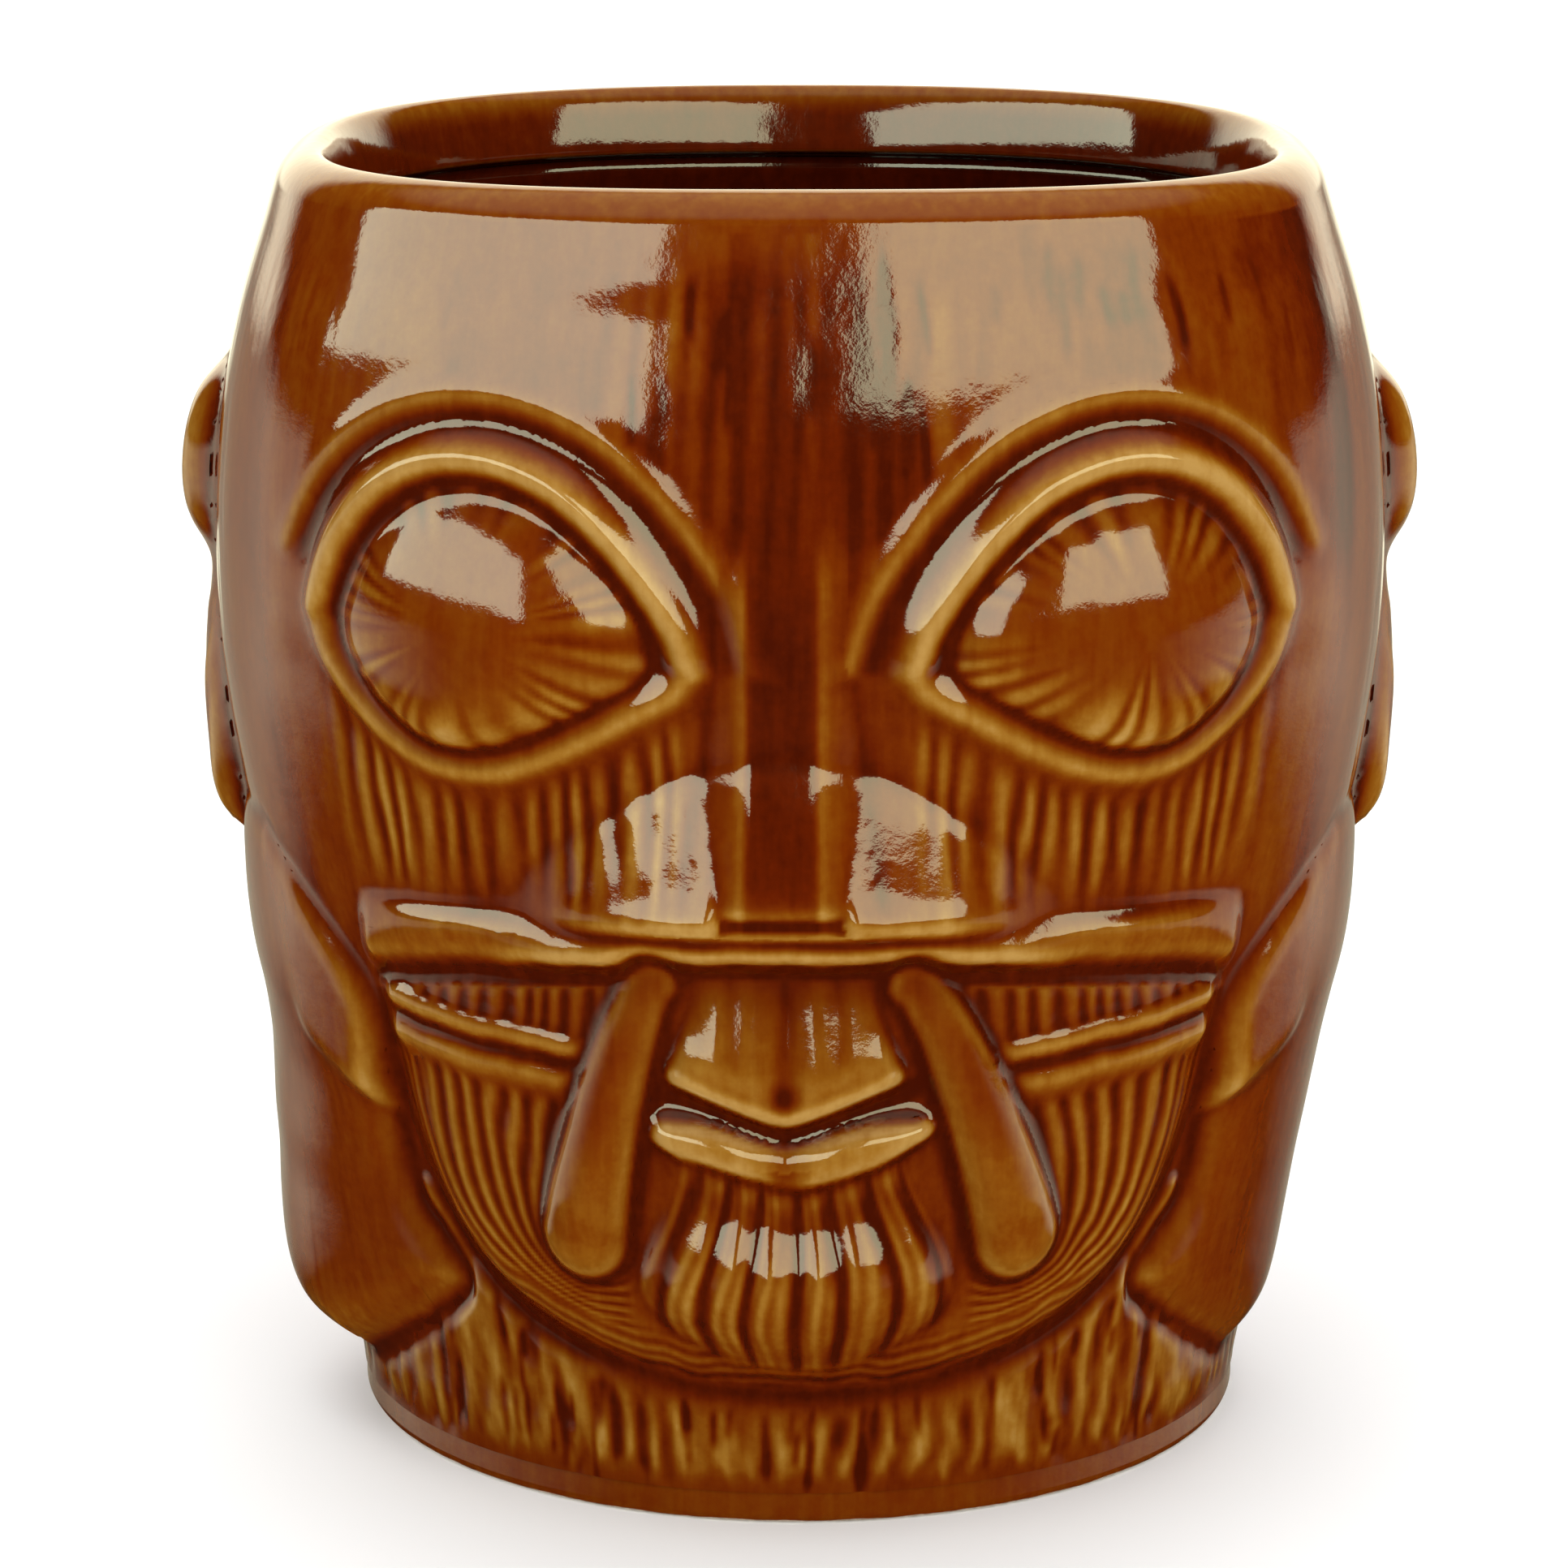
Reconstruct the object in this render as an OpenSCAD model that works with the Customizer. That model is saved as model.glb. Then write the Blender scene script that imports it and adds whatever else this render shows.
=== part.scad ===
// Tiki mug: a stoneware cup cast in the shape of a carved mask, with a treacle-brown glaze.
// The mask looks along -Y and +Z is up. The origin is at the middle of the foot, on the table.
// Left and right are as seen by someone who faces the mask.

/* [Cup] */
// Height from the table to the crest of the rim
mug_h = 100; // [90:1:115]
// Width of the cup at the temples, without the ears
body_w = 90; // [84:1:98]
// Distance from the axis to the front wall at the temples
front_d = 43.5; // [41:0.5:47]
// Distance from the axis to the back wall at the temples
back_d = 45; // [42:0.1:49]
// Diameter of the foot
foot_d = 69; // [64:1:74]
// How square the front of the rim is in plan, where 0 is an ellipse
front_square = 0.8; // [0:0.1:1.2]
// How square the back of the rim is in plan, where 0 is an ellipse
back_square = 0.3; // [0:0.1:1.2]
// Thickness of the wall
wall = 4.4; // [3.6:0.1:5.4]
// Height of the thickened rim
rim_h = 6; // [4.5:0.5:8]
// Extra thickness of the rim, on the inside
rim_bead = 1.2; // [0.6:0.1:1.8]

/* [Foot] */
// Height of the foot ring under the floor
foot_h = 2.5; // [1.5:0.5:4]
// Width of the flat that the foot ring stands on, with its two bevels
foot_band = 5.5; // [4:0.5:8]
// Thickness of the floor
floor_t = 5.5; // [4:0.5:8]
// Height of the carved collar at the back of the mug
collar_h = 12; // [9:1:16]

/* [Eyes] */
// Distance of an eye's inner corner from the middle of the face, along the wall
eye_in = 7.3; // [6.5:0.1:9]
// Distance of an eye's outer corner from the middle of the face, along the wall
eye_out = 34.6; // [33:0.1:37]
// Height of the inner corner
eye_z = 67.2; // [64:0.2:70]
// How much higher the outer corner is
eye_slant = 2.2; // [0:0.1:4]
// Rise of the upper lid over the corners
lid_rise = 13.4; // [11:0.2:15]
// Drop of the lower lid under the corners
lid_drop = 9.4; // [7:0.2:11]
// Width of the raised lid
lid_w = 3.4; // [2.6:0.2:4.4]
// Height of the raised lid
lid_h = 1.6; // [1:0.1:2.4]
// Height of the eyeball
ball_h = 2.6; // [1.5:0.1:4]

/* [Nose and mouth] */
// Height of the nose at its foot
nose_h = 2.2; // [1.4:0.1:3.4]
// Height of the nose's foot above the table
nose_z = 48.5; // [47:0.5:51]
// Height of the mouth's upper edge above the table
mouth_z = 46.6; // [44.5:0.1:47.5]
// Sideways shift of the lips, along the wall
lip_shift = -1.2; // [-2:0.1:2]
// Height of the lips over the jaw
lip_h = 1.8; // [1:0.1:2.2]
// Height of a tusk over the jaw
tusk_h = 2.2; // [1:0.1:2.4]
// Width of a tusk at its thick lower end
tusk_w = 7; // [5:0.2:7.4]

/* [Jaw and ears] */
// Height of the chin's lowest point above the table
chin_z = 11; // [10:0.5:14]
// Distance from the middle of the face to the side of the jaw, along the wall
jaw_half = 35; // [33:0.5:35.5]
// Height of the jaw over the collar, at the chin
jaw_h = 3; // [2:0.1:3.6]
// How far an ear stands out
ear_h = 3.2; // [2:0.1:4.5]
// How far the long earlobe stands out
lobe_h = 2.6; // [1.5:0.1:3.6]
// How much further the right earlobe swings out at its lower end
swing_right = 0.8; // [0:0.1:4]
// How much further the left earlobe swings out at its lower end
swing_left = 3.6; // [0:0.1:4]

/* [Hidden] */

foot_r = foot_d / 2;
floor_r = foot_r - foot_band - 5;
floor_z = foot_h + floor_t;
rim_z = mug_h - rim_h;
arc_r = 43;        // one millimetre along the wall turns this many millimetres of radius by one
around = 64;       // columns in a full turn
edge = 0.25;       // height of a relief piece at its edge
glaze = [0.50, 0.25, 0.05];
glaze_light = [0.66, 0.41, 0.14];
glaze_dark = [0.30, 0.13, 0.03];
bare_clay = [0.80, 0.72, 0.60];

// The cup's swell from foot (0) to temples (1), against height as a part of the whole
swell = [[0, 0], [0.12, 0.08], [0.3, 0.42], [0.45, 0.74], [0.6, 0.96], [0.7, 1],
         [0.8, 0.94], [0.88, 0.79], [0.95, 0.58], [1, 0.43]];
// The ear's outline seen from the front: how far it stands out, against height
ear_outline = [[44, 0.15], [46.5, 0.9], [49, 1.1], [53, 1], [58, 0.8], [63, 0.5], [67, 0.35],
               [70, 0.75], [75, 1], [80, 0.8], [84, 0.1]];

// How much of its swing the earlobe has, against height
swing_share = [[7, 0.75], [9, 0.95], [11, 1], [14, 0.95], [17.5, 0.81], [21, 0.62], [24.5, 0.47],
               [28, 0.27], [31, 0.12], [36, 0], [50, 0]];

// ---- smooth curves ----

function steps(a, b, n) = [for (i = [0:n]) a + (b - a) * i / n];
function ease(t) = let (u = min(1, max(0, t))) u * u * (3 - 2 * u);
function arch(u) = sqrt(max(0, 1 - u * u));
function slope(keys, i) =
    let (a = max(0, i - 1), b = min(len(keys) - 1, i + 1))
    (keys[b][1] - keys[a][1]) / (keys[b][0] - keys[a][0]);
function segment(keys, x, i = 0) = i >= len(keys) - 2 || x < keys[i + 1][0] ? i : segment(keys, x, i + 1);
// Smooth curve through a list of [x, y]
function curve(keys, x) =
    let (i = segment(keys, x), w = keys[i + 1][0] - keys[i][0], t = min(1, max(0, (x - keys[i][0]) / w)))
    (2 * pow(t, 3) - 3 * pow(t, 2) + 1) * keys[i][1] + (pow(t, 3) - 2 * pow(t, 2) + t) * w * slope(keys, i)
    + (3 * pow(t, 2) - 2 * pow(t, 3)) * keys[i + 1][1] + (pow(t, 3) - pow(t, 2)) * w * slope(keys, i + 1);

// ---- the cup's outer surface ----

// Radius at a compass angle (0 is the front) and a height
function radius(phi, z) =
    let (
        k = curve(swell, z / mug_h),
        a = foot_r + (body_w / 2 - foot_r) * k,
        b = foot_r + ((cos(phi) > 0 ? front_d : back_d) - foot_r) * k,
        n = 2 + (cos(phi) > 0 ? front_square : back_square) * ease(z / mug_h)
    )
    pow(pow(abs(sin(phi)) / a, n) + pow(abs(cos(phi)) / b, n), -1 / n);
function polar(phi, r, z) = [r * sin(phi), -r * cos(phi), z];
function turn(s) = s / arc_r * 180 / PI;
// Point at s along the wall from the middle of the face, at height z, standing h proud
function on(s, z, h) = polar(turn(s), radius(turn(s), z) + h, z);

// ---- solids that follow the surface ----

// Closed solid between two grids of points; closed joins the last row to the first
module slab(top, bottom, closed = false) {
    rows = len(top);
    last_col = len(top[0]) - 1;
    last_row = closed ? rows : rows - 1;
    under = rows * len(top[0]);
    function at(i, j) = (i % rows) * len(top[0]) + j;
    polyhedron(
        [for (row = top) each row, for (row = bottom) each row],
        [
            for (i = [0:last_row - 1], j = [0:last_col - 1]) each [
                [at(i, j), at(i, j + 1), at(i + 1, j + 1)],
                [at(i, j), at(i + 1, j + 1), at(i + 1, j)],
                [under + at(i, j), under + at(i + 1, j + 1), under + at(i, j + 1)],
                [under + at(i, j), under + at(i + 1, j), under + at(i + 1, j + 1)]
            ],
            for (i = [0:last_row - 1]) each [
                [at(i, 0), at(i + 1, 0), under + at(i + 1, 0)],
                [at(i, 0), under + at(i + 1, 0), under + at(i, 0)],
                [at(i + 1, last_col), at(i, last_col), under + at(i, last_col)],
                [at(i + 1, last_col), under + at(i, last_col), under + at(i + 1, last_col)]
            ],
            for (j = [0:last_col - 1]) if (!closed) each [
                [under + at(0, j), under + at(0, j + 1), at(0, j + 1)],
                [under + at(0, j), at(0, j + 1), at(0, j)],
                [under + at(last_row, j), at(last_row, j + 1), under + at(last_row, j + 1)],
                [under + at(last_row, j), at(last_row, j), at(last_row, j + 1)]
            ]
        ],
        convexity = 6
    );
}

// Ring around the cup between an outer and an inner profile of [height, offset from the surface]
module ring(outer, inner) {
    function lay(phi, profile) = [for (p = profile) polar(phi, radius(phi, p[0]) + p[1], p[0])];
    turns = [for (i = [0:around - 1]) i * 360 / around];
    slab([for (phi = turns) lay(phi, outer)], [for (phi = turns) lay(phi, inner)], closed = true);
}

// Relief piece: where gives [s, z] for u and v, rise its height there over base
module relief(us, vs, where, rise, base = function(s, z) 0) {
    function point(u, v, top) =
        let (p = where(u, v)) on(p[0], p[1], base(p[0], p[1]) + (top ? edge + rise(u, v) : 0));
    slab([for (u = us) [for (v = vs) point(u, v, true)]], [for (u = us) [for (v = vs) point(u, v, false)]]);
}

// Raised bead along a path of [s, z, half width, height], rounded across its width
module bead(path, closed = false, base = function(s, z) 0) {
    n = len(path);
    function step(i) =
        let (
            a = closed ? path[(i + n - 1) % n] : path[max(0, i - 1)],
            b = closed ? path[(i + 1) % n] : path[min(n - 1, i + 1)],
            d = [b[0] - a[0], b[1] - a[1]]
        ) d / norm(d);
    function point(i, v, top) =
        let (p = path[i], d = step(i), s = p[0] - d[1] * p[2] * v, z = p[1] + d[0] * p[2] * v)
        on(s, z, base(s, z) + (top ? edge + p[3] * arch(v) : 0));
    vs = [-1, -0.86, -0.5, 0, 0.5, 0.86, 1];
    slab([for (i = [0:n - 1]) [for (v = vs) point(i, v, true)]],
         [for (i = [0:n - 1]) [for (v = vs) point(i, v, false)]], closed = closed);
}

module right_or_left(left) {
    if (left) mirror([1, 0, 0]) children();
    else children();
}

// ---- cup ----

module foot_ring() {
    bevel = 0.8;
    inner_r = foot_r - foot_band;
    color(bare_clay) rotate_extrude($fn = 96)
        polygon([[inner_r, foot_h], [inner_r, bevel], [inner_r + bevel, 0], [foot_r - bevel, 0],
                 [foot_r, bevel], [foot_r, foot_h]]);
}

module vessel_floor() {
    color(glaze) translate([0, 0, foot_h]) cylinder(r = floor_r, h = floor_t, $fn = 96);
}

module vessel_wall() {
    fillet = 8;
    levels = 14;
    function lay(phi, profile) = [for (p = profile) polar(phi, p[1] + p[2] * radius(phi, p[0]), p[0])];
    // Profiles of [height, radius to add, share of the surface's radius]
    outer = concat([[foot_h, 0, 1]], [for (z = steps(floor_z, rim_z, levels + 4)) [z, 0, 1]]);
    inner = concat(
        [[foot_h, floor_r, 0], [floor_z, floor_r, 0]],
        [for (a = [30, 60]) let (k = 1 - cos(a))
            [floor_z + fillet * k, floor_r * (1 - sin(a)) - wall * sin(a), sin(a)]],
        [for (z = steps(floor_z + fillet, rim_z, levels + 1)) [z, -wall, 1]]);
    turns = [for (i = [0:around - 1]) i * 360 / around];
    color(glaze) slab([for (phi = turns) lay(phi, outer)], [for (phi = turns) lay(phi, inner)], closed = true);
}

module rim_lip() {
    thick = wall + rim_bead;
    top_r = thick / 2;
    round = [for (a = [0, 25, 50, 72, 90]) [mug_h - top_r * (1 - sin(a)), -top_r * (1 - cos(a))]];
    outer = concat([[rim_z, 0]], round);
    inner = concat([[rim_z, -wall], [rim_z + 1, -thick]],
                   [for (a = [25, 48, 66, 80]) [mug_h - top_r * (1 - sin(a)), -thick + top_r * (1 - cos(a))]]);
    color(glaze) ring(outer, inner);
}

// ---- neck, jaw and beard ----

// Lower edge of the jaw: a wide U with full corners
function jaw_low(s) = chin_z + 28 * (1 - pow(1 - pow(min(1, abs(s) / (jaw_half + 0.2)), 2.3), 0.3));
function mouth_low(s) = mouth_z - 2.6 - 2.6 * ease(abs(s) / 50);
// Height of the jaw over the cup
function jaw_top(s, z) =
    let (side = ease((jaw_half - abs(s)) / 9)) (0.6 + 0.4 * side) * (0.8 + (jaw_h - 0.8) * ease((46 - z) / 26));

// The same as a value, for the pieces that sit on the jaw
over_jaw = function(s, z) jaw_top(s, z);

module neck_collar() {
    side = 34;
    under_lobe = 6.5;
    function collar_top(s) =
        abs(s) < side
        ? min(jaw_low(s) - 0.3, 19) * ease((side - abs(s)) / 4) + under_lobe * ease((abs(s) - side + 4) / 4)
        : under_lobe + (collar_h - under_lobe) * ease((abs(s) - 84) / 20);
    turns = [for (i = [0:around - 1]) (i - around / 2) * 360 / around];
    function column(phi, h) =
        let (s = phi / 180 * PI * arc_r, top = collar_top(s))
        [for (t = steps(0, 1, 4)) let (z = foot_h + (top - foot_h) * t) polar(phi, radius(phi, z) + h, z)];
    color(glaze) slab([for (phi = turns) column(phi, 0.9)], [for (phi = turns) column(phi, 0)], closed = true);
}

module jaw_plate() {
    color(glaze) relief(
        steps(-1, 1, 26), steps(0, 1, 11),
        function(u, v) let (s = jaw_half * u, low = jaw_low(s)) [s, low + (mouth_low(s) - low) * v],
        function(u, v)
            let (s = jaw_half * u, low = jaw_low(s)) jaw_top(s, low + (mouth_low(s) - low) * v) - edge);
}

module beard() {
    top = 27.2;
    bottom = 13;
    function half(v) = 12.6 - 3.4 * ease(v / 0.8);
    function low(u) = bottom + 3 - 3 * arch(u * 0.9);
    function high(u) = top + 2.4 * u * u;
    color(glaze_light) relief(
        steps(-1, 1, 12), steps(0, 1, 8),
        function(u, v) [lip_shift + 0.7 + half(v) * u, low(u) + (high(u) - low(u)) * v],
        function(u, v) 1.3 * arch(u * 0.96) * (0.5 + 0.5 * sin(180 * v)),
        over_jaw);
}

// ---- mouth ----

module mouth_ridge() {
    color(glaze_light) bead([for (s = steps(-34, 33, 26)) [s, mouth_z - 2.9 * pow(s / 34, 2), 1.1, 1.1]]);
}

module upper_lip() {
    high = 44;
    function low(u) = 32.6 + 3.8 * pow(abs(u), 1.2);
    color(glaze_light) relief(
        steps(-1, 1, 12), steps(0, 1, 8),
        function(u, v) [lip_shift + (9.4 - 2 * v) * u, low(u) + (high - low(u)) * v],
        function(u, v) lip_h * arch(u * 0.97) * (1 - 0.55 * v) * (0.55 + 0.45 * arch(2 * v - 1)),
        over_jaw);
}

module lower_lip() {
    function low(u) = 27.7 + 3.3 * pow(abs(u), 1.3);
    function high(u) = 31.2 + 2.5 * abs(u);
    color(glaze_light) relief(
        steps(-1, 1, 14), steps(0, 1, 6),
        function(u, v) [lip_shift + 10.8 * u, low(u) + (high(u) - low(u)) * v],
        function(u, v) lip_h * 0.9 * (0.35 + 0.65 * arch(u)) * arch(1.9 * v - 0.95),
        over_jaw);
}

module teeth(left) {
    inner_s = 16.4;
    outer_s = 32.5;
    color(glaze_light) right_or_left(left) relief(
        steps(0, 1, 10), steps(0, 1, 4),
        function(u, v)
            let (
                s = inner_s + (outer_s - inner_s) * u,
                high = mouth_z - 3.6 - 1.5 * u,
                low = high - 5 + 3.9 * u
            )
            [s, low + (high - low) * v],
        function(u, v) 0.5 * arch(2 * v - 1),
        over_jaw);
}

module teeth_left() { teeth(left = true); }
module teeth_right() { teeth(left = false); }

// A tusk hangs from its thin tip by the lip to a thick round end on the jaw
module tusk(left) {
    top = [left ? 10.6 : 7.5, mouth_z - 2.4];
    end = [18, 20.7];
    function profile(t) = pow(min(1, 0.25 + 1.1 * t), 0.8) * arch(max(0, (t - 0.86) / 0.15));
    color(glaze) right_or_left(left) bead(
        [for (t = concat(steps(0, 0.86, 11), [0.91, 0.95, 0.98, 1]))
            [top[0] + (end[0] - top[0]) * pow(t, 0.8), top[1] + (end[1] - top[1]) * t,
             0.3 + tusk_w / 2 * profile(t), tusk_h * (0.1 + profile(t))]],
        base = over_jaw);
}

module tusk_left() { tusk(left = true); }
module tusk_right() { tusk(left = false); }

// ---- nose ----

module nose() {
    top = 82;
    middle = -0.9;
    function half(z) = 6.4 - 2.2 * ease((z - nose_z) / 20) + 0.3 * ease((z - 74) / 8);
    function rise(z) = (nose_h * (1 - 0.75 * ease((z - nose_z) / 36))) * (0.5 + 0.5 * ease((z - nose_z) / 2.5));
    color(glaze_dark) relief(
        [-1, -0.85, -0.68, -0.5, 0, 0.5, 0.68, 0.85, 1], steps(0, 1, 16),
        function(u, v) let (z = nose_z + (top - nose_z) * v) [middle + half(z) * u, z],
        function(u, v) (rise(nose_z + (top - nose_z) * v) - edge) * ease((1 - abs(u)) / 0.5));
}

// ---- eyes ----

eye_mid = (eye_in + eye_out) / 2;
eye_half = (eye_out - eye_in) / 2;
function corner_line(s) = eye_z + eye_slant * (s - eye_in) / (eye_out - eye_in);
// The lid is pointed at the nose and fuller at the temple
function lid_arch(u, point) = pow(max(0, 1 - u * u), u < 0 ? point : 0.6);
function upper_lid(u) = lid_rise * lid_arch(u, 1);
function lower_lid(u) = lid_drop * lid_arch(u, 1.3);
// Lid crest at an angle around the eye, moved inwards by a margin
function lid_at(a, margin) =
    let (u = cos(a), s = eye_mid + (eye_half - margin) * u, rise = sin(a) > 0 ? upper_lid(u) : -lower_lid(u),
         inside = (sin(a) > 0 ? lid_rise - margin : lid_drop - margin) / (sin(a) > 0 ? lid_rise : lid_drop))
    [s, corner_line(s) + rise * inside];

module eyelid(left) {
    color(glaze_light) right_or_left(left)
        bead([for (i = [0:43]) concat(lid_at(i * 360 / 44 + 2, 0), [lid_w / 2, lid_h])], closed = true);
}

module eyeball(left) {
    margin = lid_w / 2 + 0.4;
    us = [for (a = steps(172, 8, 16)) cos(a)];
    color(glaze_light) right_or_left(left) relief(
        us, steps(0, 1, 10),
        function(u, v)
            let (low = lid_at(-acos(u), margin), high = lid_at(acos(u), margin)) low + (high - low) * v,
        function(u, v) (ball_h - edge) * pow(max(0, 1 - u * u), 0.6) * pow(max(0, 1 - pow(2 * v - 1, 2)), 0.6));
}

// Fold of the brow above the lid, from the nose round to the temple
module brow(left) {
    function path(a) = let (p = lid_at(a, 0)) [p[0] + 0.6 * cos(a) - 0.8 * sin(a), p[1] + 3.6 * sin(a) + 0.6];
    color(glaze) right_or_left(left)
        bead([for (a = steps(168, 22, 20)) concat(path(a), [0.5 + 0.7 * sin(a), 0.3 + 0.9 * sin(a)])]);
}

module eyelid_left() { eyelid(left = true); }
module eyelid_right() { eyelid(left = false); }
module eyeball_left() { eyeball(left = true); }
module eyeball_right() { eyeball(left = false); }
module brow_left() { brow(left = true); }
module brow_right() { brow(left = false); }

// ---- ears ----

module ear(left) {
    low = 44;
    high = 84;
    middle = 69;
    function half(z) = z > 67 ? 3.5 + 4.5 * arch((z - 75.5) / 8.6) : 3.5 + 3.5 * arch((z - 56) / 12.1);
    color(glaze) right_or_left(left) relief(
        [-1, -0.94, -0.78, -0.5, 0, 0.5, 0.78, 0.94, 1], steps(0, 1, 24),
        function(u, v) let (z = low + (high - low) * v) [middle + half(z) * u, z],
        function(u, v) ear_h * curve(ear_outline, low + (high - low) * v) * arch(u));
}

// Long stretched earlobe that hangs from the ear down to the collar
module earlobe(left) {
    low = 7;
    top = 50;
    swing = left ? swing_left : swing_right;
    function at(v) = low + (top - low) * v;
    function inner_s(z) = curve([[7, 49], [9, 44.5], [12, 38.5], [14.5, 34.8], [16.5, 33], [19, 34.2],
                                 [22.5, 36.6], [26, 37.2], [32, 36.3], [38, 36], [42, 38.3], [46, 42.8],
                                 [50, 48.6]], z);
    function outer_s(z) = curve([[7, 62], [12, 74], [19, 79], [30, 80], [38, 78], [43.5, 70], [50, 58]], z);
    color(glaze) right_or_left(left) relief(
        steps(-1, 1, 14), steps(0, 1, 18),
        function(u, v) let (z = at(v), a = inner_s(z), b = outer_s(z)) [(a + b) / 2 + (b - a) / 2 * u, z],
        function(u, v) pow(arch(u * 0.98), 0.7) * (0.3 + 0.7 * ease(v / 0.07))
            * (lobe_h * (0.4 + 0.6 * ease((1 - v) / 0.4)) + swing * curve(swing_share, at(v))));
}

module ear_left() { ear(left = true); }
module ear_right() { ear(left = false); }
module earlobe_left() { earlobe(left = true); }
module earlobe_right() { earlobe(left = false); }

foot_ring();
vessel_floor();
vessel_wall();
rim_lip();
neck_collar();
jaw_plate();
beard();
upper_lip();
lower_lip();
mouth_ridge();
teeth_left();
teeth_right();
tusk_left();
tusk_right();
nose();
eyeball_left();
eyeball_right();
eyelid_left();
eyelid_right();
brow_left();
brow_right();
ear_left();
ear_right();
earlobe_left();
earlobe_right();
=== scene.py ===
import math

import bpy
import numpy as np
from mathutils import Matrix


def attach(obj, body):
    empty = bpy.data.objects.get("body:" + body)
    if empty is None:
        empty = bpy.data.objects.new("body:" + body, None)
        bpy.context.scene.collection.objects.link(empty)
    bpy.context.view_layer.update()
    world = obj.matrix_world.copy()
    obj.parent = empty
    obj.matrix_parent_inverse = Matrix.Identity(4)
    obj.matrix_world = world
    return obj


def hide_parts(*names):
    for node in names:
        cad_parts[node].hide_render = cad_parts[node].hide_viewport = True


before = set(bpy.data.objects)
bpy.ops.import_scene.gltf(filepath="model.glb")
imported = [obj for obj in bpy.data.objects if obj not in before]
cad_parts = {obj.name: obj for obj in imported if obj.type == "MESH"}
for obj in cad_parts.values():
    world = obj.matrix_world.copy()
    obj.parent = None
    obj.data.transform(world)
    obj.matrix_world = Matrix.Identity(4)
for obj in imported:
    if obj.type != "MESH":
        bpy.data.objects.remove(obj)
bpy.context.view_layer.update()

# The mug's skin is one height field over the cup's surface, in millimetres: s runs along the wall from the
# middle of the face (+ to the right), z runs up, and the height stands out from the wall. The field is cut
# along the carved borders into closed pieces: one for each carved CAD node and seven for the wall. They
# share their border points, so no seam shows.

MM = 0.001
ARC_R = 43.0  # the wall turns one radian in this many millimetres of s
SKIN = 2.6  # depth of the carved pieces into the wall


# ---------------- sizes read from the frame

def node_points(name):
    """A CAD node's points, in millimetres."""
    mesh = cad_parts[name].data
    flat = np.empty(len(mesh.vertices) * 3)
    mesh.vertices.foreach_get("co", flat)
    return flat.reshape(-1, 3) / MM


def span(name):
    """Lowest and highest s and z of a CAD node: s0, s1, z0, z1."""
    p = node_points(name)
    s = ARC_R * np.arctan2(p[:, 0], -p[:, 1])
    return s.min(), s.max(), p[:, 2].min(), p[:, 2].max()


def middle(name):
    """Middle of a CAD node along s."""
    return 0.5 * (span(name)[0] + span(name)[1])


cup = node_points("vessel_wall")
HALF_W = cup[:, 0].max()
FRONT_D = -cup[:, 1].min()
BACK_D = cup[:, 1].max()
FOOT_Z = cup[:, 2].min()
RIM_Z = cup[:, 2].max()
MUG_H = node_points("rim_lip")[:, 2].max()
FOOT_R = node_points("foot_ring")[:, 0].max()
FLOOR_R = node_points("vessel_floor")[:, 0].max()
FLOOR_Z = node_points("vessel_floor")[:, 2].max()
WALL = 4.4  # wall thickness
RIM_ROLL = 2.3  # radius of the rim's outer edge

LID_HALF = 1.7  # half the width of a lid
EYE_IN, EYE_OUT, EYE_LOW, EYE_TOP = (
    e + LID_HALF * k for e, k in zip(span("eyelid_right"), (1, -1, 1, -1)))
NOSE_S = middle("nose") - 0.4
NOSE_Z = span("nose")[2]
MOUTH_Z = span("mouth_ridge")[3] - 1.1
JAW_HALF = span("jaw_plate")[1]
CHIN_Z = span("jaw_plate")[2]
LIP_S = middle("upper_lip")
LIP_Z = 32.5  # the upper lip's lower edge in the middle
ROLL_Z = 29.5  # the lower lip's middle
BEARD_TOP, BEARD_LOW = 28.0, 13.5
EAR_S = middle("ear_right")
TUSK_TIP = {1: span("tusk_right")[0] + 1.8, -1: -span("tusk_left")[1] + 1.5}
TUSK_END = span("tusk_right")[1] - 3.6
TUSK_LOW = span("tusk_right")[2]
JAW_RISE = 28.0  # how far the jaw's lower edge climbs from the chin to its corners
JAW_H = 3.0  # height of the jaw over the collar, at the chin
BORDER = 3.2  # width of the jaw's border, and half the width kept for a tusk
EAR_H = 3.2  # how far an ear stands out
LOBE_H = 2.6  # how far an earlobe stands out
SWING = {1: 0.8, -1: 3.6}  # how much further its lower end swings out, on the right and on the left
NOSE_H = 2.2  # height of the nose at its foot
NOSE_TOP_H = 0.7  # and where it grows out of the forehead
SIDE_NAME = {1: "right", -1: "left"}

# The cup's swell from foot (0) to temples (1), against height as a part of the whole
SWELL = [(0, 0), (0.12, 0.08), (0.3, 0.42), (0.45, 0.74), (0.6, 0.96), (0.7, 1),
         (0.8, 0.94), (0.88, 0.79), (0.95, 0.58), (1, 0.43)]


# ---------------- curves and the cup's surface

def ease(x, width=1.0):
    """Smooth step from 0 where x is 0 to 1 where it is width."""
    t = np.clip(x / width, 0, 1)
    return t * t * (3 - 2 * t)


def arch(u):
    """Half circle over u from -1 to 1."""
    return np.sqrt(np.clip(1 - np.square(u), 0, None))


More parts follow.
